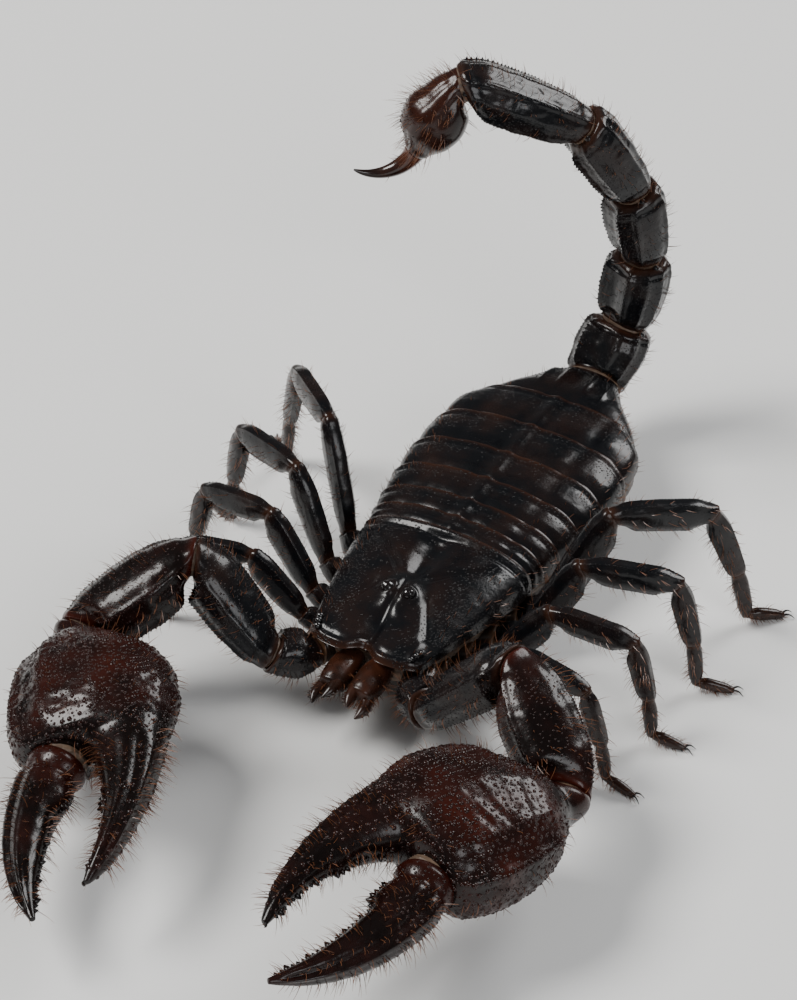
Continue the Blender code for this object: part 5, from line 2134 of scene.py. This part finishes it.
@dataclass
class Studio:
    """A plain pale floor, soft light and the camera.

    The camera hangs at angles in degrees and a distance in metres. It frames the animal at a scale in
    steps of the frame for each millimetre, so that the point aim falls on the step middle.
    """

    maker: Maker
    azimuth: float = 29.0
    elevation: float = 39.0
    distance: float = 0.45
    scale: float = 6.6
    middle: Pair = (455.0, 508.0)
    aim: Triple = (0.0, 30.0, 20.0)
    floor_radius: float = 1.7
    lamps: tuple[Softbox, ...] = (
        Softbox((-1.05, -0.50, 1.55), 0.90, 40.0, (1.0, 0.985, 0.96)),
        Softbox((1.40, -0.95, 1.05), 1.10, 15.0, (0.97, 0.98, 1.0)),
        Softbox((0.60, 1.65, 1.25), 1.10, 27.0),
    )

    def build(self) -> None:
        """Sets up floor, light and camera."""
        self.floor()
        self.light()
        self.camera()

    def floor(self) -> None:
        """A plain pale floor, wide enough for every view."""
        mesh = bmesh.new()
        bmesh.ops.create_circle(mesh, cap_ends=True, segments=96, radius=self.floor_radius)
        data = bpy.data.meshes.new("floor")
        mesh.to_mesh(data)
        mesh.free()
        material = bpy.data.materials.new("floor")
        material.use_nodes = True
        shader = material.node_tree.nodes["Principled BSDF"]
        Nodes(material.node_tree).fill(shader, Base_Color=(0.84, 0.84, 0.83), Roughness=0.7)
        data.materials.append(material)
        linked("floor", data)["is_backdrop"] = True

    def light(self) -> None:
        """Pale surroundings and three large soft lamps."""
        world = bpy.data.worlds.new("studio")
        world.use_nodes = True
        nodes = Nodes(world.node_tree)
        seen = nodes.times(nodes.add("LightPath").outputs["Is Camera Ray"], 0.65, 0.12)
        nodes.fill(world.node_tree.nodes["Background"], Color=(0.97, 0.98, 1.0), Strength=seen)
        bpy.context.scene.world = world
        target = Vector((0.0, 0.0, 0.02))
        for number, lamp in enumerate(self.lamps):
            data = bpy.data.lights.new(f"softbox_{number}", "AREA")
            data.shape = "DISK"
            data.size, data.energy, data.color = lamp.size, lamp.power, lamp.colour
            made = linked(f"softbox_{number}", data)
            made.location = lamp.place
            made.rotation_euler = (target - Vector(lamp.place)).to_track_quat("-Z", "Y").to_euler()

    def camera(self) -> None:
        """The camera, in front of the animal, to its left and above it."""
        around = math.radians(self.azimuth)
        back = Vector(heading(1, self.azimuth, self.elevation))
        right = Vector((math.cos(around), math.sin(around), 0.0))
        up = back.cross(right)
        aim = Vector(self.maker.offset) + Vector(self.aim) * MM
        aside, below = FRAME_MIDDLE[0] - self.middle[0], self.middle[1] - FRAME_MIDDLE[1]
        aim += (right * aside + up * below) / self.scale * MM
        data = bpy.data.cameras.new("camera")
        data.sensor_width = SENSOR
        data.lens = self.scale * self.distance / MM / FRAME_DENSITY
        data.clip_start = 0.01
        camera = linked("camera", data)
        camera.location = aim + back * self.distance
        camera.rotation_euler = (-back).to_track_quat("-Z", "Y").to_euler()
        bpy.context.scene.camera = camera


def main() -> None:
    """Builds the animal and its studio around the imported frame."""
    logging.basicConfig(level=logging.INFO, format="%(message)s")
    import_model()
    low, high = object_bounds()
    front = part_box("carapace")[1].y - Trunk.head * MM
    maker = Maker(point((low.x + high.x) / 2, front, low.z))
    beads, hairs = Beads(maker), Bristles(maker)
    tail_hairs, leg_hairs, leg_beads = Bristles(maker, seed=2), Bristles(maker, seed=9), Beads(maker)
    trunk = Trunk(maker, beads, hairs)
    trunk.build()
    Jaws(maker, hairs).build()
    root = point(0.0, trunk.end + 0.15, trunk.tail_height)
    Tail(maker, beads, tail_hairs, root).build()
    for (side, sign), angles in zip(SIDES, ARM_ANGLES):
        arm_hairs = Bristles(maker, seed=3 + sign)
        Arm(maker, side, sign, angles, Beads(maker), Beads(maker), arm_hairs).build()
    skins: list[Surface] = []
    for side, sign in SIDES:
        for number, plan in enumerate(LEG_PLANS, 1):
            Leg(maker, f"{side}_{number}", sign, plan, leg_beads, leg_hairs, skins).build()
    maker.piece("leg_joint_skin", skins, SKIN)
    beads.made("body_grains", SHELL, 0.05)
    leg_beads.made("leg_grains", SHELL, 0.1)
    hairs.made("body_bristles")
    tail_hairs.made("tail_bristles")
    leg_hairs.made("leg_bristles")
    Studio(maker).build()


if __name__ == "__main__":
    main()
